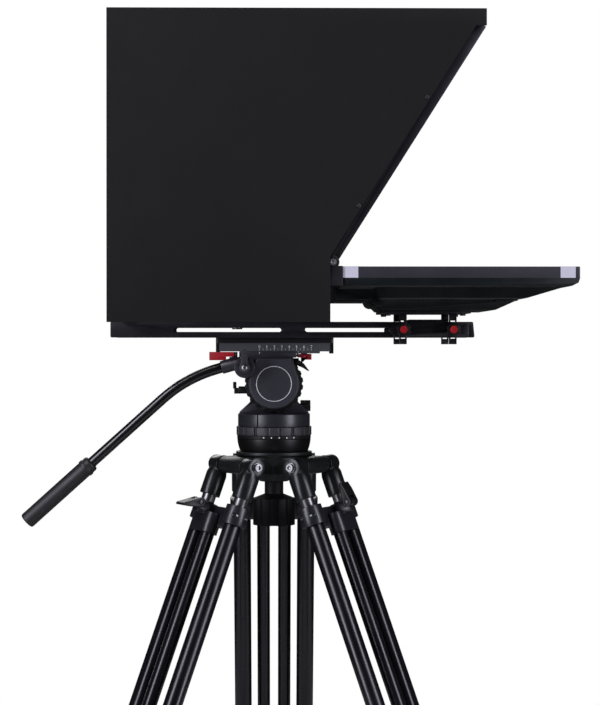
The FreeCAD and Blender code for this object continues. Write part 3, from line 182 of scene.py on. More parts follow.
def finish(name, colour, shade, rough, metallic=0.0, grain=1500, relief=0.00001, wear=0.25, worn=None,
           edge=0.6, coat=0.0, patch=16, sheen=0.5):
    """A worked surface: uneven colour, fine grain, and finish rubbed thin along the edges. grain and
    patch are how many specks and clouds fit in a metre, relief is in metres, and edge is the width
    of the rubbed line in millimetres."""
    material = bpy.data.materials.new(name)
    material.use_nodes = True
    surface = material.node_tree.nodes["Principled BSDF"]
    start = Wire(material.node_tree)
    place = start.node("TexCoord", out="Object")
    cloud = start.node("TexNoise", Vector=place, Scale=patch, Detail=4, Roughness=0.62)
    speck = start.node("TexNoise", Vector=place, Scale=grain, Detail=2)
    smudge = start.node("TexNoise", {"noise_type": "FBM"}, Vector=place, Scale=patch * 3.1, Detail=3)
    tone = cloud.blend(colour, shade)
    if edge:
        facing = start.node("VectorMath", {"operation": "DOT_PRODUCT"}, out="Value",
                            i0=start.node("Bevel", {"samples": 4}, Radius=edge * MM),
                            i1=start.node("NewGeometry", out="Normal"))
        rubbed = ((1 - facing) * EDGE_GAIN * cloud).limited() * wear
        tone = rubbed.blend(tone, worn or WORN_GREY)
    roughness = (rough - MEAN_LIFT) + smudge * SMUDGE_SHARE + speck * SPECK_SHARE
    sockets = {"Base Color": tone, "Roughness": roughness}
    if relief:
        sockets["Normal"] = start.node("Bump", Height=speck, Distance=relief, Strength=0.4)
    for socket, wire in sockets.items():
        material.node_tree.links.new(wire.socket, surface.inputs[socket])
    surface.inputs["Metallic"].default_value = metallic
    surface.inputs["Coat Weight"].default_value = coat
    surface.inputs["Coat Roughness"].default_value = COAT_ROUGHNESS
    surface.inputs["Specular IOR Level"].default_value = sheen
    return material


floor_finish = finish("pale_floor", grey(0.42), grey(0.46), 0.8, grain=300, wear=0, edge=0.1)
bpy.ops.object.select_all(action="DESELECT")
FLOOR_DEPTH = 0.02
FLOOR_TOP = -0.4 * MM
bpy.ops.mesh.primitive_cylinder_add(vertices=96, radius=1.35, depth=FLOOR_DEPTH,
                                    location=(0.05, 0, FLOOR_TOP - FLOOR_DEPTH / 2))
floor_disc = bpy.context.object
floor_disc.name = "floor"
floor_disc.data.materials.append(floor_finish)


# Crown. An aluminium casting, satin black enamel, that carries the bowl and the three hinge lugs.
# The hinge pins and their socket caps are bright steel, and the washers under the caps are dark.
crown_enamel = finish("crown_enamel", (0.004, 0.0055, 0.005, 1), (0.007, 0.0095, 0.009, 1), 0.42,
                      relief=0.00002, wear=0.3, edge=1.2, sheen=0.35)
bolt_steel = finish("bolt_steel", grey(0.3), grey(0.2), 0.38, metallic=1, grain=900, wear=0.3, worn=grey(0.5))


def added(make, name, **size):
    """One primitive at its size and place, with nothing else selected."""
    bpy.ops.object.select_all(action="DESELECT")
    make(**size)
    piece = bpy.context.object
    piece.name = name
    return piece


def pick(piece, test, kind="FACE"):
    """Goes into edit mode with only the faces or edges that pass the test selected."""
    bpy.context.view_layer.objects.active = piece
    bpy.ops.object.mode_set(mode="EDIT")
    bpy.ops.mesh.select_mode(type=kind)
    bpy.ops.mesh.select_all(action="DESELECT")
    mesh = bmesh.from_edit_mesh(piece.data)
    for part in mesh.faces if kind == "FACE" else mesh.edges:
        part.select_set(test(part))
    bmesh.update_edit_mesh(piece.data)


def settle(piece, body, material, bevel=0.0, segments=2, angle=35):
    """Leaves edit mode, rounds the edges, puts the place in the mesh, and hangs the piece on its body.
    bevel is in metres here, and angle, in degrees, is the least fold that counts as an edge."""
    if bpy.context.object.mode == "EDIT":
        bpy.ops.object.mode_set(mode="OBJECT")
    bpy.ops.object.select_all(action="DESELECT")
    piece.select_set(True)
    bpy.context.view_layer.objects.active = piece
    if bevel:
        edge = piece.modifiers.new("Edge", "BEVEL")
        edge.width = bevel
        edge.segments = segments
        edge.limit_method = "ANGLE"
        edge.angle_limit = math.radians(angle)
        edge.use_clamp_overlap = False
        bpy.ops.object.modifier_apply(modifier=edge.name)
    bpy.ops.object.transform_apply(location=True, rotation=True, scale=True)
    bpy.ops.object.shade_smooth_by_angle(angle=math.radians(angle))
    piece.data.materials.clear()
    piece.data.materials.append(material)
    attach(piece, body)
    return piece


SAME_POINT = 0.004 * MM
SAME_FLAT = math.radians(0.25)


def dress(material, slot, *nodes, bevel=0.4):
    """Finishes CAD pieces: a copy with its triangles merged, its flats joined and its edges rounded.
    bevel is in millimetres here."""
    for name in nodes:
        source = frame["nodes"][name]
        piece = bpy.data.objects.new(name + "_finished", source.data.copy())
        bpy.context.collection.objects.link(piece)
        bpy.ops.object.select_all(action="DESELECT")
        piece.select_set(True)
        bpy.context.view_layer.objects.active = piece
        bpy.ops.object.mode_set(mode="EDIT")
        bpy.ops.mesh.select_all(action="SELECT")
        bpy.ops.mesh.remove_doubles(threshold=SAME_POINT)
        bpy.ops.mesh.dissolve_limited(angle_limit=SAME_FLAT)
        bpy.ops.object.mode_set(mode="OBJECT")
        settle(piece, source["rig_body"], material, bevel=bevel * MM)
        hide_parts(name)


def copy_to(piece, name, matrix, body):
    """A copy with its own mesh, moved by the matrix and hung on a body."""
    twin = piece.copy()
    twin.data = piece.data.copy()
    twin.name = name
    twin.parent = None
    twin.matrix_world = Matrix.Identity(4)
    twin.data.transform(matrix)
    bpy.context.collection.objects.link(twin)
    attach(twin, body)
    return twin


def facing_to(place, direction, turn=0.0):
    """The matrix that takes a piece standing on the origin along +Z to a place, facing a direction."""
    upright = Vector(direction).to_track_quat("Z", "Y").to_matrix().to_4x4()
    return Matrix.Translation(Vector(place)) @ upright @ Matrix.Rotation(turn, 4, "Z")


SOCKET_DEPTH = 0.55
CAP_ROUND = 0.08


def socket_screw(name, radius, height, material, body, recess=0.5):
    """A round cap with a round socket of a share of its radius, standing on the origin along +Z."""
    cap = added(bpy.ops.mesh.primitive_cylinder_add, name, vertices=24, radius=radius, depth=height,
                location=(0, 0, height / 2))
    pick(cap, lambda face: face.normal.z > 0.9)
    bpy.ops.mesh.inset(thickness=radius * (1 - recess), depth=0)
    bpy.ops.mesh.extrude_region_move(TRANSFORM_OT_translate={"value": (0, 0, -height * SOCKET_DEPTH)})
    return settle(cap, body, material, bevel=radius * CAP_ROUND)


def throw_away(piece):
    bpy.data.objects.remove(piece, do_unlink=True)


dress(crown_enamel, "crown_enamel", "crown", bevel=0.8)
dress(bolt_steel, "bolt_steel", "hinge_bolts", bevel=0.3)
WASHER_FROM = 5.3 * MM
bolts = bpy.data.objects["hinge_bolts_finished"]
bolts.data.materials.append(crown_enamel)
hinges = [(Vector(joint["pos_m"]), Vector(joint["axis"]).normalized())
          for name, joint in joints.items() if name.endswith("_leg_fold")]
for face in bolts.data.polygons:
    if min((face.center - at).cross(axis).length for at, axis in hinges) > WASHER_FROM:
        face.material_index = 1


# Tie-down knob. A lobed matt black moulding on the stud under the crown, which draws the half
# ball into its bowl.
knob_plastic = finish("knob_plastic", grey(0.004), grey(0.0065, -0.03), 0.42, grain=1800, wear=0.3,
                      worn=grey(0.03), edge=1.0, sheen=0.3)
matt_moulding = finish("matt_moulding", grey(0.002), grey(0.003), 0.62, grain=1300, relief=0.00002, wear=0.15,
                       sheen=0.2)
dress(matt_moulding, "knob_plastic", "tie_down_knob")


# Legs. Each enamelled hinge arm ends in a bare rod inside a gloss black outer tube; a clamp casting
# at each stage holds the next pair of tubes and carries a moulded cam lever; a foot has a rubber pad.
arm_enamel = finish("arm_enamel", (0.004, 0.005, 0.005, 1), (0.008, 0.01, 0.01, 1), 0.3, edge=1.2, sheen=0.45)
gloss_tube = finish("gloss_tube", (0.0016, 0.0016, 0.0028, 1), (0.003, 0.003, 0.005, 1), 0.26, grain=30,
                    relief=0, wear=0, edge=0, patch=5)
lock_casting = finish("lock_casting", (0.006, 0.006, 0.008, 1), (0.011, 0.011, 0.014, 1), 0.34, wear=0.35,
                      coat=0.15, edge=1.2)
rod_metal = finish("rod_metal", grey(0.22), grey(0.16), 0.32, metallic=1, grain=900, wear=0, edge=0)
foot_rubber = finish("foot_rubber", grey(0.01), grey(0.017, 0.03), 0.72, grain=1100, relief=0.00008, wear=0.2,
                     sheen=0.3)
PINCH_RADIUS = 2.45 * MM
PINCH_HEIGHT = 4 * MM
pinch_screw = socket_screw("pinch_screw", PINCH_RADIUS, PINCH_HEIGHT, bolt_steel, "stand")
TUBE_WALL = 1.5 * MM
# Radius, start and end down the leg, distance from the leg's middle line, and step outwards.
TUBE_STAGES = {
    "outer_tubes": (12.25 * MM, 62 * MM, 662 * MM, 45 * MM, 0),
    "inner_tubes": (9.15 * MM, 78 * MM, 712 * MM, 15 * MM, 16 * MM),
}
COLLAR_STATION = 68.5 * MM
PINCH_SPREAD = 58 * MM
PINCH_STEP = 4.5 * MM
ARM_END = 45 * MM
for leg in ("rear", "left", "right"):
    hinge = joints[leg + "_leg_fold"]
    down = Vector(joints[leg + "_upper_slide"]["axis"])
    across = Vector(hinge["axis"])
    outward = across.cross(-down)
    origin = Vector(hinge["pos_m"])
    dress(arm_enamel, "arm_enamel", leg + "_leg_arms")
    arms = bpy.data.objects[leg + "_leg_arms_finished"]
    arms.data.materials.append(rod_metal)
    for face in arms.data.polygons:
        if (face.center - origin).dot(down) > ARM_END:
            face.material_index = 1
    for stage, body in (("outer_tubes", "_middle_leg"), ("inner_tubes", "_lower_leg")):
        radius, start, end, spread, step = TUBE_STAGES[stage]
        for letter, side in (("a", 1), ("b", -1)):
            tube = added(bpy.ops.mesh.primitive_cylinder_add, f"{leg}_{stage[:-1]}_{letter}",
                         vertices=96, radius=radius, depth=end - start, location=(0, 0, 0))
            pick(tube, lambda face: abs(face.normal.z) > 0.9)
            bpy.ops.mesh.inset(thickness=TUBE_WALL, depth=0, use_individual=True)
            bpy.ops.mesh.bridge_edge_loops()
            bpy.ops.object.mode_set(mode="OBJECT")
            middle = origin + down * (start + end) / 2 + across * spread * side + outward * step
            tube.data.transform(facing_to(middle, down))
            settle(tube, leg + body, gloss_tube, bevel=0.3 * MM)
            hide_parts(f"{leg}_{stage}")
    dress(lock_casting, "lock_casting", leg + "_upper_lock", leg + "_lower_lock")
    dress(knob_plastic, "knob_plastic", leg + "_lock_lever", leg + "_lower_lever")
    dress(foot_rubber, "foot_rubber", leg + "_foot")
    for letter, side in (("a", 1), ("b", -1)):
        at = origin + down * COLLAR_STATION + across * PINCH_SPREAD * side + outward * PINCH_STEP
        copy_to(pinch_screw, f"{leg}_pinch_screw_{letter}", facing_to(at, outward), leg + "_middle_leg")
throw_away(pinch_screw)


# Half ball. A turned casting, matt black, with the pan spigot on top and the tie-down stud below.
bowl_black = finish("bowl_black", grey(0.002), grey(0.003), 0.4, grain=1800, relief=0.00002, wear=0.1,
                    sheen=0.22)
dress(bowl_black, "head_casting", "half_ball")


# Pan drag ring. A moulded ring with grip pads that stand above grooves; the pads' outward faces carry a
# painted highlight, a lighter grey than the rest of the ring, and their edges are worn. Five printed dots on
# its lip tell the drag steps.
dress(knob_plastic, "knob_plastic", "pan_drag_ring")
# A lighter grey of the same moulding for the pad faces: painted highlight, with edge wear.
pad_painted_highlight = finish("pad_painted_highlight", (0.018, 0.018, 0.021, 1), (0.026, 0.026, 0.03, 1), 0.5, grain=1300,
                  relief=0.00004, wear=0.3, worn=grey(0.05))
PAD_DEPTH = 0.7 * MM
UPRIGHT_FACE = 0.3
drag_ring = bpy.data.objects["pan_drag_ring_finished"]
drag_ring.data.materials.append(pad_painted_highlight)
pad_reach = max(face.center.xy.length for face in drag_ring.data.polygons)
# The outward upright faces of the pads take the lighter grey, a painted highlight.
for face in drag_ring.data.polygons:
    if face.center.xy.length > pad_reach - PAD_DEPTH and abs(face.normal.z) < UPRIGHT_FACE:
        face.material_index = 1
print_white = finish("print_white", grey(0.8), grey(0.7), 0.5, grain=900, wear=0, edge=0)
LIP_RADIUS = 50.1 * MM
LIP_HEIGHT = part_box("pan_drag_ring")[0].z + 2.2 * MM
DOT_ANGLES = range(-106, -57, 12)
for step, angle in enumerate(DOT_ANGLES):
    out = Vector((math.cos(math.radians(angle)), math.sin(math.radians(angle)), 0))
    dot = added(bpy.ops.mesh.primitive_cylinder_add, f"drag_dot_{step + 1}", vertices=16, radius=0.9 * MM,
                depth=0.3 * MM)
    pick(dot, lambda face: face.normal.z > 0.9)
    bpy.ops.mesh.inset(thickness=0.2 * MM, depth=0.03 * MM)
    bpy.ops.object.mode_set(mode="OBJECT")
    dot.data.transform(facing_to(out * LIP_RADIUS + Vector((0, 0, LIP_HEIGHT)), out))
    settle(dot, "drag_ring", print_white)


# Pan housing. The cast block on the drag ring, with a fluted plastic brake knob in its front
# shoulder. A near-black strip set in the slot of the band is painted shade.
head_casting = finish("head_casting", (0.014, 0.014, 0.018, 1), (0.02, 0.02, 0.0255, 1), 0.34, grain=1800,
                      relief=0.00002, wear=0.25, edge=1.0)
dress(head_casting, "head_casting", "pan_housing")
dress(knob_plastic, "knob_plastic", "pan_brake_knob")
band_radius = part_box("pan_housing")[1].x
STRIP_X = -22 * MM
STRIP_HEIGHT = 781 * MM
# Near-black strip in the slot of the band: painted shade.
strip = added(bpy.ops.mesh.primitive_cube_add, "band_slot_shade", size=1,
              location=(STRIP_X, -math.sqrt(band_radius**2 - STRIP_X**2), STRIP_HEIGHT))
strip.scale = (1.6 * MM, 1.2 * MM, 17 * MM)
settle(strip, "pan_head", bowl_black, bevel=0.2 * MM)


# Tilt body. Cast yoke between two moulded teardrop caps; each cap wears a thin bright ring round
# the tilt shaft.
dress(head_casting, "head_casting", "tilt_body")
cap_plastic = finish("cap_plastic", (0.024, 0.024, 0.03, 1), (0.03, 0.03, 0.037, 1), 0.44, grain=1800,
                     relief=0.00001, wear=0.5, worn=grey(0.06), edge=1.4)
dress(cap_plastic, "cap_plastic", "side_caps")
TILT_HEIGHT = joints["tilt"]["pos_m"][2]
print_silver = finish("print_silver", grey(0.6), grey(0.5), 0.4, grain=900, wear=0, edge=0)
RING_RADIUS = 23.4 * MM
cap_low, cap_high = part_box("side_caps")
for side, face_y in (("near", cap_low.y), ("far", cap_high.y)):
    ring = added(bpy.ops.mesh.primitive_torus_add, side + "_cap_ring", major_segments=96, minor_segments=8,
                 major_radius=RING_RADIUS, minor_radius=0.55 * MM, location=(0, face_y, TILT_HEIGHT),
                 rotation=(math.pi / 2, 0, 0))
    settle(ring, "tilt_head", print_silver)


# Tilt drag dial and the small levers. Moulded black plastic; the counterbalance blade and the
# tilt brake hook turn on their own pins.
dress(knob_plastic, "knob_plastic", "tilt_drag_dial", "tilt_brake_lever", "counterbalance_lever")


# Plate receiver. Machined bar with a dovetail, dark grey; a red lever clamps the plate and a red
# sprung catch keeps it from sliding off. A bright plunger stands beside the catch.
receiver_grey = finish("receiver_grey", (0.03, 0.03, 0.036, 1), (0.042, 0.042, 0.05, 1), 0.38, metallic=0.2,
                       grain=1200, wear=0.4, worn=grey(0.1), edge=0.7)
red_anodised = finish("red_anodised", (0.36, 0.008, 0.014, 1), (0.46, 0.014, 0.022, 1), 0.35, grain=900,
                      wear=0.3, worn=(0.6, 0.1, 0.1, 1), coat=0.2, edge=0.8)
dress(receiver_grey, "anodised_plate", "plate_clamp")
dress(red_anodised, "red_anodised", "clamp_lever", "safety_catch")
lever = bpy.data.objects["clamp_lever_finished"]
lever.data.materials.append(knob_plastic)
RED_LENGTH = 22.4 * MM
hub_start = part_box("clamp_lever")[0].x + RED_LENGTH
for face in lever.data.polygons:
    if face.center.x > hub_start:
        face.material_index = 1
clamp_low, clamp_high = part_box("plate_clamp")
PLUNGER_Y = -19 * MM
PLUNGER_LENGTH = 5 * MM
plunger = added(bpy.ops.mesh.primitive_cylinder_add, "catch_plunger", vertices=20, radius=1.6 * MM,
                depth=PLUNGER_LENGTH, location=(clamp_high.x - 5 * MM, PLUNGER_Y, clamp_high.z - 1.5 * MM))
pick(plunger, lambda face: face.normal.z > 0.9)
bpy.ops.mesh.inset(thickness=0.5 * MM, depth=0.3 * MM)
settle(plunger, "tilt_head", bolt_steel, bevel=0.2 * MM)


# Camera plate. Two layers: a satin lower bar with dark end caps under a darker top, with a
# centimetre scale printed on the near edge and an index mark on the receiver below it.
anodised_plate = finish("anodised_plate", (0.004, 0.004, 0.005, 1), (0.007, 0.007, 0.009, 1), 0.36,
                        grain=1200, wear=0.4, worn=grey(0.06), edge=0.7)
plate_satin = finish("plate_satin", (0.07, 0.07, 0.078, 1), (0.09, 0.09, 0.1, 1), 0.36, metallic=0.2,
                     grain=1300, wear=0.4, worn=grey(0.12), edge=0.8)
dress(plate_satin, "anodised_plate", "sliding_plate")
plate_low, plate_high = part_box("sliding_plate")
TOP_LAYER = 7.5 * MM
TOP_SKIN = 0.35 * MM
TOP_CORNER = 3 * MM
top = added(bpy.ops.mesh.primitive_cube_add, "plate_top_layer", size=1,
            location=((plate_low.x + plate_high.x) / 2, 0, plate_high.z - TOP_LAYER / 2 - 0.01 * MM))
top.scale = (plate_high.x - plate_low.x + 2 * TOP_SKIN, plate_high.y - plate_low.y + 2 * TOP_SKIN,
             TOP_LAYER)
bpy.ops.object.transform_apply(scale=True)
pick(top, lambda edge: abs((edge.verts[0].co - edge.verts[1].co).z) > 1 * MM, "EDGE")
bpy.ops.mesh.bevel(offset=TOP_CORNER, segments=5)
settle(top, "prompter", anodised_plate, bevel=0.3 * MM)
END_CAP = 4.5 * MM
CAP_SKIN = 0.2 * MM
cap_height = plate_high.z - TOP_LAYER - plate_low.z
rear_x = plate_low.x + END_CAP / 2 - CAP_SKIN
front_x = plate_high.x - END_CAP / 2 + CAP_SKIN
for end, x in (("rear", rear_x), ("front", front_x)):
    cap = added(bpy.ops.mesh.primitive_cube_add, f"plate_end_{end}", size=1,
                location=(x, 0, plate_low.z + cap_height / 2))
    cap.scale = (END_CAP, plate_high.y - plate_low.y + 2 * CAP_SKIN, cap_height + CAP_SKIN)
    settle(cap, "prompter", anodised_plate, bevel=1.2 * MM, segments=3)


def printed(name, word, height, place, body):
    """A printed figure on a near face, as thin as paint."""
    bpy.ops.object.select_all(action="DESELECT")
    bpy.ops.object.text_add(location=place, rotation=(math.pi / 2, 0, 0))
    text = bpy.context.object
    text.name = name
    text.data.body = word
    text.data.size = height
    text.data.align_x = "CENTER"
    text.data.extrude = 0.05 * MM
    bpy.ops.object.convert(target="MESH")
    settle(text, body, print_white)


SCALE_ZERO = -19.6 * MM
SCALE_STEP = 10 * MM
LAST_FIGURE = 7
scale_face = plate_low.y - 0.06 * MM
FIGURE_HEIGHT = 5.6 * MM
FIGURE_FOOT = plate_low.z + 7.2 * MM
TICK_TOP = plate_low.z + 6.4 * MM
LONG_TICK = 2.6 * MM
SHORT_TICK = 1.6 * MM
for figure in range(LAST_FIGURE + 1):
    x = SCALE_ZERO + figure * SCALE_STEP
    printed(f"scale_figure_{figure}", str(figure), FIGURE_HEIGHT, (x, scale_face, FIGURE_FOOT), "prompter")
    for half, reach in ((0, LONG_TICK), (1, SHORT_TICK)):
        if figure == LAST_FIGURE and half:
            continue
        tick = added(bpy.ops.mesh.primitive_cube_add, f"scale_tick_{figure}_{half}", size=1,
                     location=(x + half * SCALE_STEP / 2, scale_face, TICK_TOP - reach / 2))
        tick.scale = (0.45 * MM, 0.1 * MM, reach)
        settle(tick, "prompter", print_white)
RECEIVER_STEP = 3.97 * MM
index = added(bpy.ops.mesh.primitive_cube_add, "index_mark", size=1,
              location=(SCALE_ZERO, clamp_low.y + RECEIVER_STEP, clamp_high.z - 1.6 * MM))
index.scale = (0.7 * MM, 0.1 * MM, 2.4 * MM)
settle(index, "tilt_head", print_white)


# Pan bar. Bent steel tube in black enamel with a moulded grip; a ratchet lever with a domed bright
# screw clamps it to the rosette.
bar_enamel = finish("bar_enamel", grey(0.002), grey(0.0035), 0.22, grain=60, relief=0, wear=0, edge=0,
                    sheen=0.7)
grip_rubber = finish("grip_rubber", grey(0.006), grey(0.009), 0.5, grain=1500, relief=0.00003, wear=0.2)
dress(bar_enamel, "bar_enamel", "pan_bar")
dress(grip_rubber, "grip_rubber", "bar_grip")
dress(head_casting, "head_casting", "bar_clamp")
lever_grey = finish("lever_grey", (0.018, 0.018, 0.022, 1), (0.026, 0.026, 0.03, 1), 0.5, wear=0.3, edge=1)
dress(lever_grey, "knob_plastic", "bar_clamp_lever")
lever_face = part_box("bar_clamp_lever")[0].y
clamp_axis = Vector(joints["bar_angle"]["pos_m"])
DOME_RADIUS = 4.6 * MM
DOME_SKIRT = 1.2 * MM
DOME_RISE = 0.55
dome = added(bpy.ops.mesh.primitive_uv_sphere_add, "lever_dome_screw", segments=32, ring_count=16,
             radius=DOME_RADIUS)
pick(dome, lambda face: face.calc_center_median().z < -0.2 * MM)
bpy.ops.mesh.delete(type="FACE")
pick(dome, lambda edge: edge.is_boundary, "EDGE")
bpy.ops.mesh.extrude_region_move(TRANSFORM_OT_translate={"value": (0, 0, -DOME_SKIRT)})
bpy.ops.mesh.edge_face_add()
bpy.ops.object.mode_set(mode="OBJECT")
dome.data.transform(Matrix.Diagonal((1, 1, DOME_RISE, 1)))
dome.data.transform(facing_to((clamp_axis.x, lever_face + 0.2 * MM, clamp_axis.z), (0, -1, 0)))
settle(dome, "bar_lever", bolt_steel)


# Base rails and camera bed. Folded steel channels with two long slots, powder coated; the bed
# slides on them and carries the camera screw between two pads of black rubber.
rail_enamel = finish("rail_enamel", (0.005, 0.005, 0.0065, 1), (0.009, 0.009, 0.012, 1), 0.32, grain=1800,
                     relief=0.00001, wear=0.45, worn=grey(0.05), coat=0.15, edge=0.9)
screw_steel = finish("screw_steel", grey(0.5), grey(0.4), 0.34, metallic=1, grain=900, worn=grey(0.6))
dress(rail_enamel, "rail_enamel", "base_rails", "camera_bed")
dress(screw_steel, "screw_steel", "camera_screw")
bed_low, bed_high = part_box("camera_bed")
PAD_INSET = 11 * MM
PAD_SIZE = (14 * MM, 80 * MM, 1.0 * MM)
for end, x in (("rear", bed_low.x + PAD_INSET), ("front", bed_high.x - PAD_INSET)):
    pad = added(bpy.ops.mesh.primitive_cube_add, f"bed_pad_{end}", size=1,
                location=(x, 0, bed_high.z + PAD_SIZE[2] / 2))
    pad.scale = PAD_SIZE
    settle(pad, "bed", foot_rubber, bevel=0.3 * MM)


# Front frame and mirror glass. A welded steel frame stands across the rails; the glass lies in a
# dark anodised frame that hinges on it, with a socket screw at each hinge.
frame_anodised = finish("frame_anodised", (0.014, 0.014, 0.018, 1), (0.022, 0.022, 0.027, 1), 0.34,
                        metallic=0.4, grain=1200, wear=0.8, worn=grey(0.22), edge=0.8)
dress(rail_enamel, "rail_enamel", "glass_uprights")
dress(frame_anodised, "frame_anodised", "glass_frame")
glass = bpy.data.materials.new("coated_glass")
glass.use_nodes = True
pane = glass.node_tree.nodes["Principled BSDF"]
draw = Wire(glass.node_tree)
pane_place = draw.node("TexCoord", out="Object")
haze = draw.node("TexNoise", Vector=pane_place, Scale=22, Detail=3)
tint = haze.blend((0.8, 0.86, 0.88, 1), (0.86, 0.9, 0.9, 1))
for socket, wire in (("Roughness", haze * 0.05 + 0.01), ("Base Color", tint)):
    glass.node_tree.links.new(wire.socket, pane.inputs[socket])
pane.inputs["Transmission Weight"].default_value = 1
pane.inputs["IOR"].default_value = 1.5
dress(glass, "coated_glass", "beam_splitter_glass", bevel=0)
pivot = Vector(joints["glass_fold"]["pos_m"])
upright_low, upright_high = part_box("glass_uprights")
pivot_screw = socket_screw("pivot_screw", 4.2 * MM, 1.6 * MM, bolt_steel, "prompter")
for side, y, direction in (("near", upright_low.y, -1), ("far", upright_high.y, 1)):
    copy_to(pivot_screw, f"pivot_screw_{side}", facing_to((pivot.x, y, pivot.z), (0, direction, 0)),
            "prompter")
throw_away(pivot_screw)


# Hood. Flat black board folded into two sides and a top, open below, behind and over the glass; a
# bent rod holds its back edge, and two studs on each side stand beside the glass frame.
hood_board = finish("hood_board", grey(0.0062), grey(0.0078), 0.75, grain=1500, relief=0.00001, wear=0.1,
                    worn=grey(0.04), edge=0.5, patch=7, sheen=0.15)
dress(hood_board, "hood_board", "hood")
dress(rail_enamel, "rail_enamel", "hood_hoop")
hood_low, hood_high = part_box("hood")
GLASS_SLOPE = math.radians(57.7)
STUD_STATIONS = (75 * MM, 232 * MM)
STUD_STEP = 10.3 * MM
stud = added(bpy.ops.mesh.primitive_cylinder_add, "hood_stud", vertices=20, radius=2.4 * MM, depth=1.4 * MM)
pick(stud, lambda face: face.normal.z > 0.9)
bpy.ops.mesh.inset(thickness=0.9 * MM, depth=0.25 * MM)
settle(stud, "prompter", head_casting, bevel=0.25 * MM)
up_glass = Vector((math.cos(GLASS_SLOPE), 0, math.sin(GLASS_SLOPE)))
off_glass = Vector((-math.sin(GLASS_SLOPE), 0, math.cos(GLASS_SLOPE)))
for number, along in enumerate(STUD_STATIONS):
    for side, y, direction in (("near", hood_low.y, -1), ("far", hood_high.y, 1)):
        at = pivot + up_glass * along + off_glass * STUD_STEP
        copy_to(stud, f"hood_stud_{side}_{number + 1}", facing_to((at.x, y, at.z), (0, direction, 0)),
                "prompter")
throw_away(stud)


# Monitor. A flat panel lying face up: dark grey bezel with white tape at its corners, anti-glare
# screen, and a stepped black shell below with a power inlet, vents drawn as near-black bars of painted shade,
# and a screw in each side boss.
bezel_plastic = finish("bezel_plastic", (0.02, 0.0195, 0.025, 1), (0.027, 0.026, 0.033, 1), 0.4, grain=1800,
                       relief=0.00001, wear=0.5, worn=grey(0.12), edge=1)
monitor_plastic = finish("monitor_plastic", (0.003, 0.0042, 0.0042, 1), (0.006, 0.009, 0.009, 1), 0.36,
                         grain=1800, relief=0.00001, wear=0.1, edge=1.4, sheen=0.3)
screen_glass = finish("screen_glass", (0.006, 0.006, 0.008, 1), (0.009, 0.009, 0.011, 1), 0.2, grain=3500,
                      relief=0.00001, wear=0, coat=0.5, patch=4)
tape_white = finish("tape_white", (0.5, 0.5, 0.56, 1), (0.42, 0.42, 0.48, 1), 0.75, grain=1200,
                    relief=0.00003, wear=0.2, worn=grey(0.4), edge=0.2, sheen=0.2)
dress(bezel_plastic, "bezel_plastic", "monitor_bezel")
dress(monitor_plastic, "monitor_plastic", "monitor_back")
dress(screen_glass, "screen_glass", "monitor_screen", bevel=0)
bezel_low, bezel_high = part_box("monitor_bezel")
bezel_middle = (bezel_low.z + bezel_high.z) / 2
TAPE_LENGTH = 18.5 * MM
TAPE_SKIN = 0.3 * MM
for end, x in (("rear", bezel_low.x + 17 * MM), ("front", bezel_high.x - 15 * MM)):
    for side, y in (("near", bezel_low.y - TAPE_SKIN / 2), ("far", bezel_high.y + TAPE_SKIN / 2)):
        tape = added(bpy.ops.mesh.primitive_cube_add, f"tape_{side}_{end}", size=1,
                     location=(x, y, bezel_middle))
        tape.scale = (TAPE_LENGTH, TAPE_SKIN, bezel_high.z - bezel_low.z + 0.2 * MM)
        settle(tape, "monitor", tape_white, bevel=0.1 * MM)
back_low, back_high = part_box("monitor_back")
BOSS_FACE = 118 * MM
BOSS_HEIGHT = 943 * MM
boss_x = back_low.x + 59 * MM
boss_screw = socket_screw("boss_screw", 6 * MM, 2 * MM, monitor_plastic, "monitor",
                          recess=0.45)
for side, direction in (("near", -1), ("far", 1)):
    at = (boss_x, BOSS_FACE * direction, BOSS_HEIGHT)
    copy_to(boss_screw, f"boss_screw_{side}", facing_to(at, (0, direction, 0)), "monitor")
throw_away(boss_screw)
BULGE_FLOOR = 941 * MM
VENT_PITCH = 6 * MM
VENT_SPREAD = 125 * MM
VENTS_IN_ROW = 12
first_vent = back_low.x + 90 * MM
# Each vent is a near-black bar on the shell: painted shade for the opening.
vent_shade = added(bpy.ops.mesh.primitive_cube_add, "vent_shade", size=1, location=(0, 0, BULGE_FLOOR + 0.2 * MM))
vent_shade.scale = (2 * MM, 60 * MM, 1 * MM)
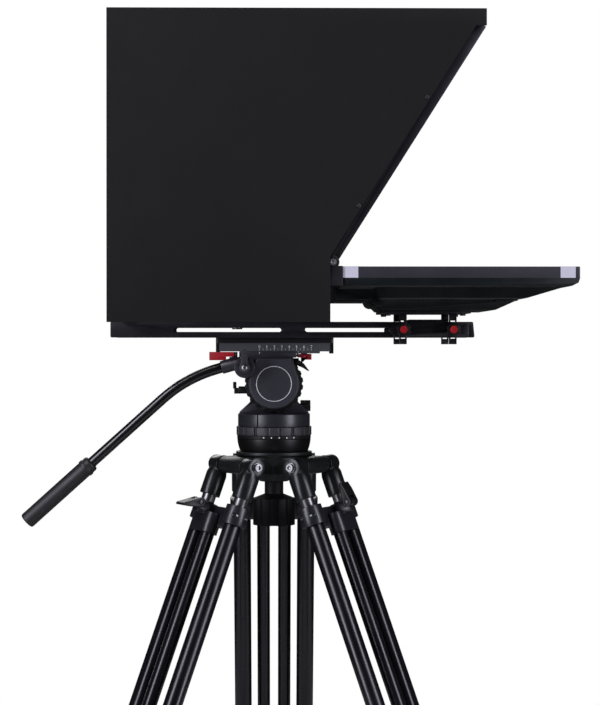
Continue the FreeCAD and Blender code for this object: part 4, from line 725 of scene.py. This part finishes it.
settle(vent_shade, "monitor", bowl_black, bevel=0.3 * MM)
for number in range(VENTS_IN_ROW):
    for side, y in (("near", -VENT_SPREAD), ("far", VENT_SPREAD)):
        shift = Vector((first_vent + number * VENT_PITCH, y, 0))
        copy_to(vent_shade, f"vent_{side}_{number + 1}", Matrix.Translation(shift), "monitor")
throw_away(vent_shade)
INLET_SIZE = (27 * MM, 48 * MM, 2.2 * MM)
INLET_RIM = 3 * MM
INLET_DEPTH = 1.6 * MM
INLET_FROM_FRONT = 75 * MM
INLET_Y = -112 * MM
inlet = added(bpy.ops.mesh.primitive_cube_add, "power_inlet", size=1,
              location=(back_high.x - INLET_FROM_FRONT, INLET_Y, BULGE_FLOOR - 0.9 * MM))
inlet.scale = INLET_SIZE
bpy.ops.object.transform_apply(scale=True)
pick(inlet, lambda face: face.normal.z < -0.9)
bpy.ops.mesh.inset(thickness=INLET_RIM, depth=0)
bpy.ops.mesh.extrude_region_move(TRANSFORM_OT_translate={"value": (0, 0, INLET_DEPTH)})
settle(inlet, "monitor", knob_plastic, bevel=0.4 * MM)


# Monitor fixing. A steel plate with four cap screws on the monitor's back, slotted posts down each
# side, and a saddle over the rails; two lobed knobs with red caps lock the posts to it.
dress(rail_enamel, "rail_enamel", "vesa_plate", "monitor_posts", "monitor_carriage")
dress(knob_plastic, "knob_plastic", "knob_rear", "knob_front")
cap_red = finish("cap_red", (0.4, 0.01, 0.014, 1), (0.52, 0.02, 0.026, 1), 0.26, wear=0, edge=0, coat=0.5)
for end in ("rear", "front"):
    low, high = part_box("knob_" + end)
    centre = (low + high) / 2
    cap = added(bpy.ops.mesh.primitive_cylinder_add, f"{end}_knob_cap", vertices=32, radius=5 * MM,
                depth=1.6 * MM)
    pick(cap, lambda face: face.normal.z > 0.9)
    bpy.ops.mesh.inset(thickness=1.2 * MM, depth=-0.4 * MM)
    bpy.ops.object.mode_set(mode="OBJECT")
    cap.data.transform(facing_to((centre.x, low.y, centre.z), (0, -1, 0)))
    settle(cap, f"{end}_knob", cap_red, bevel=0.25 * MM)
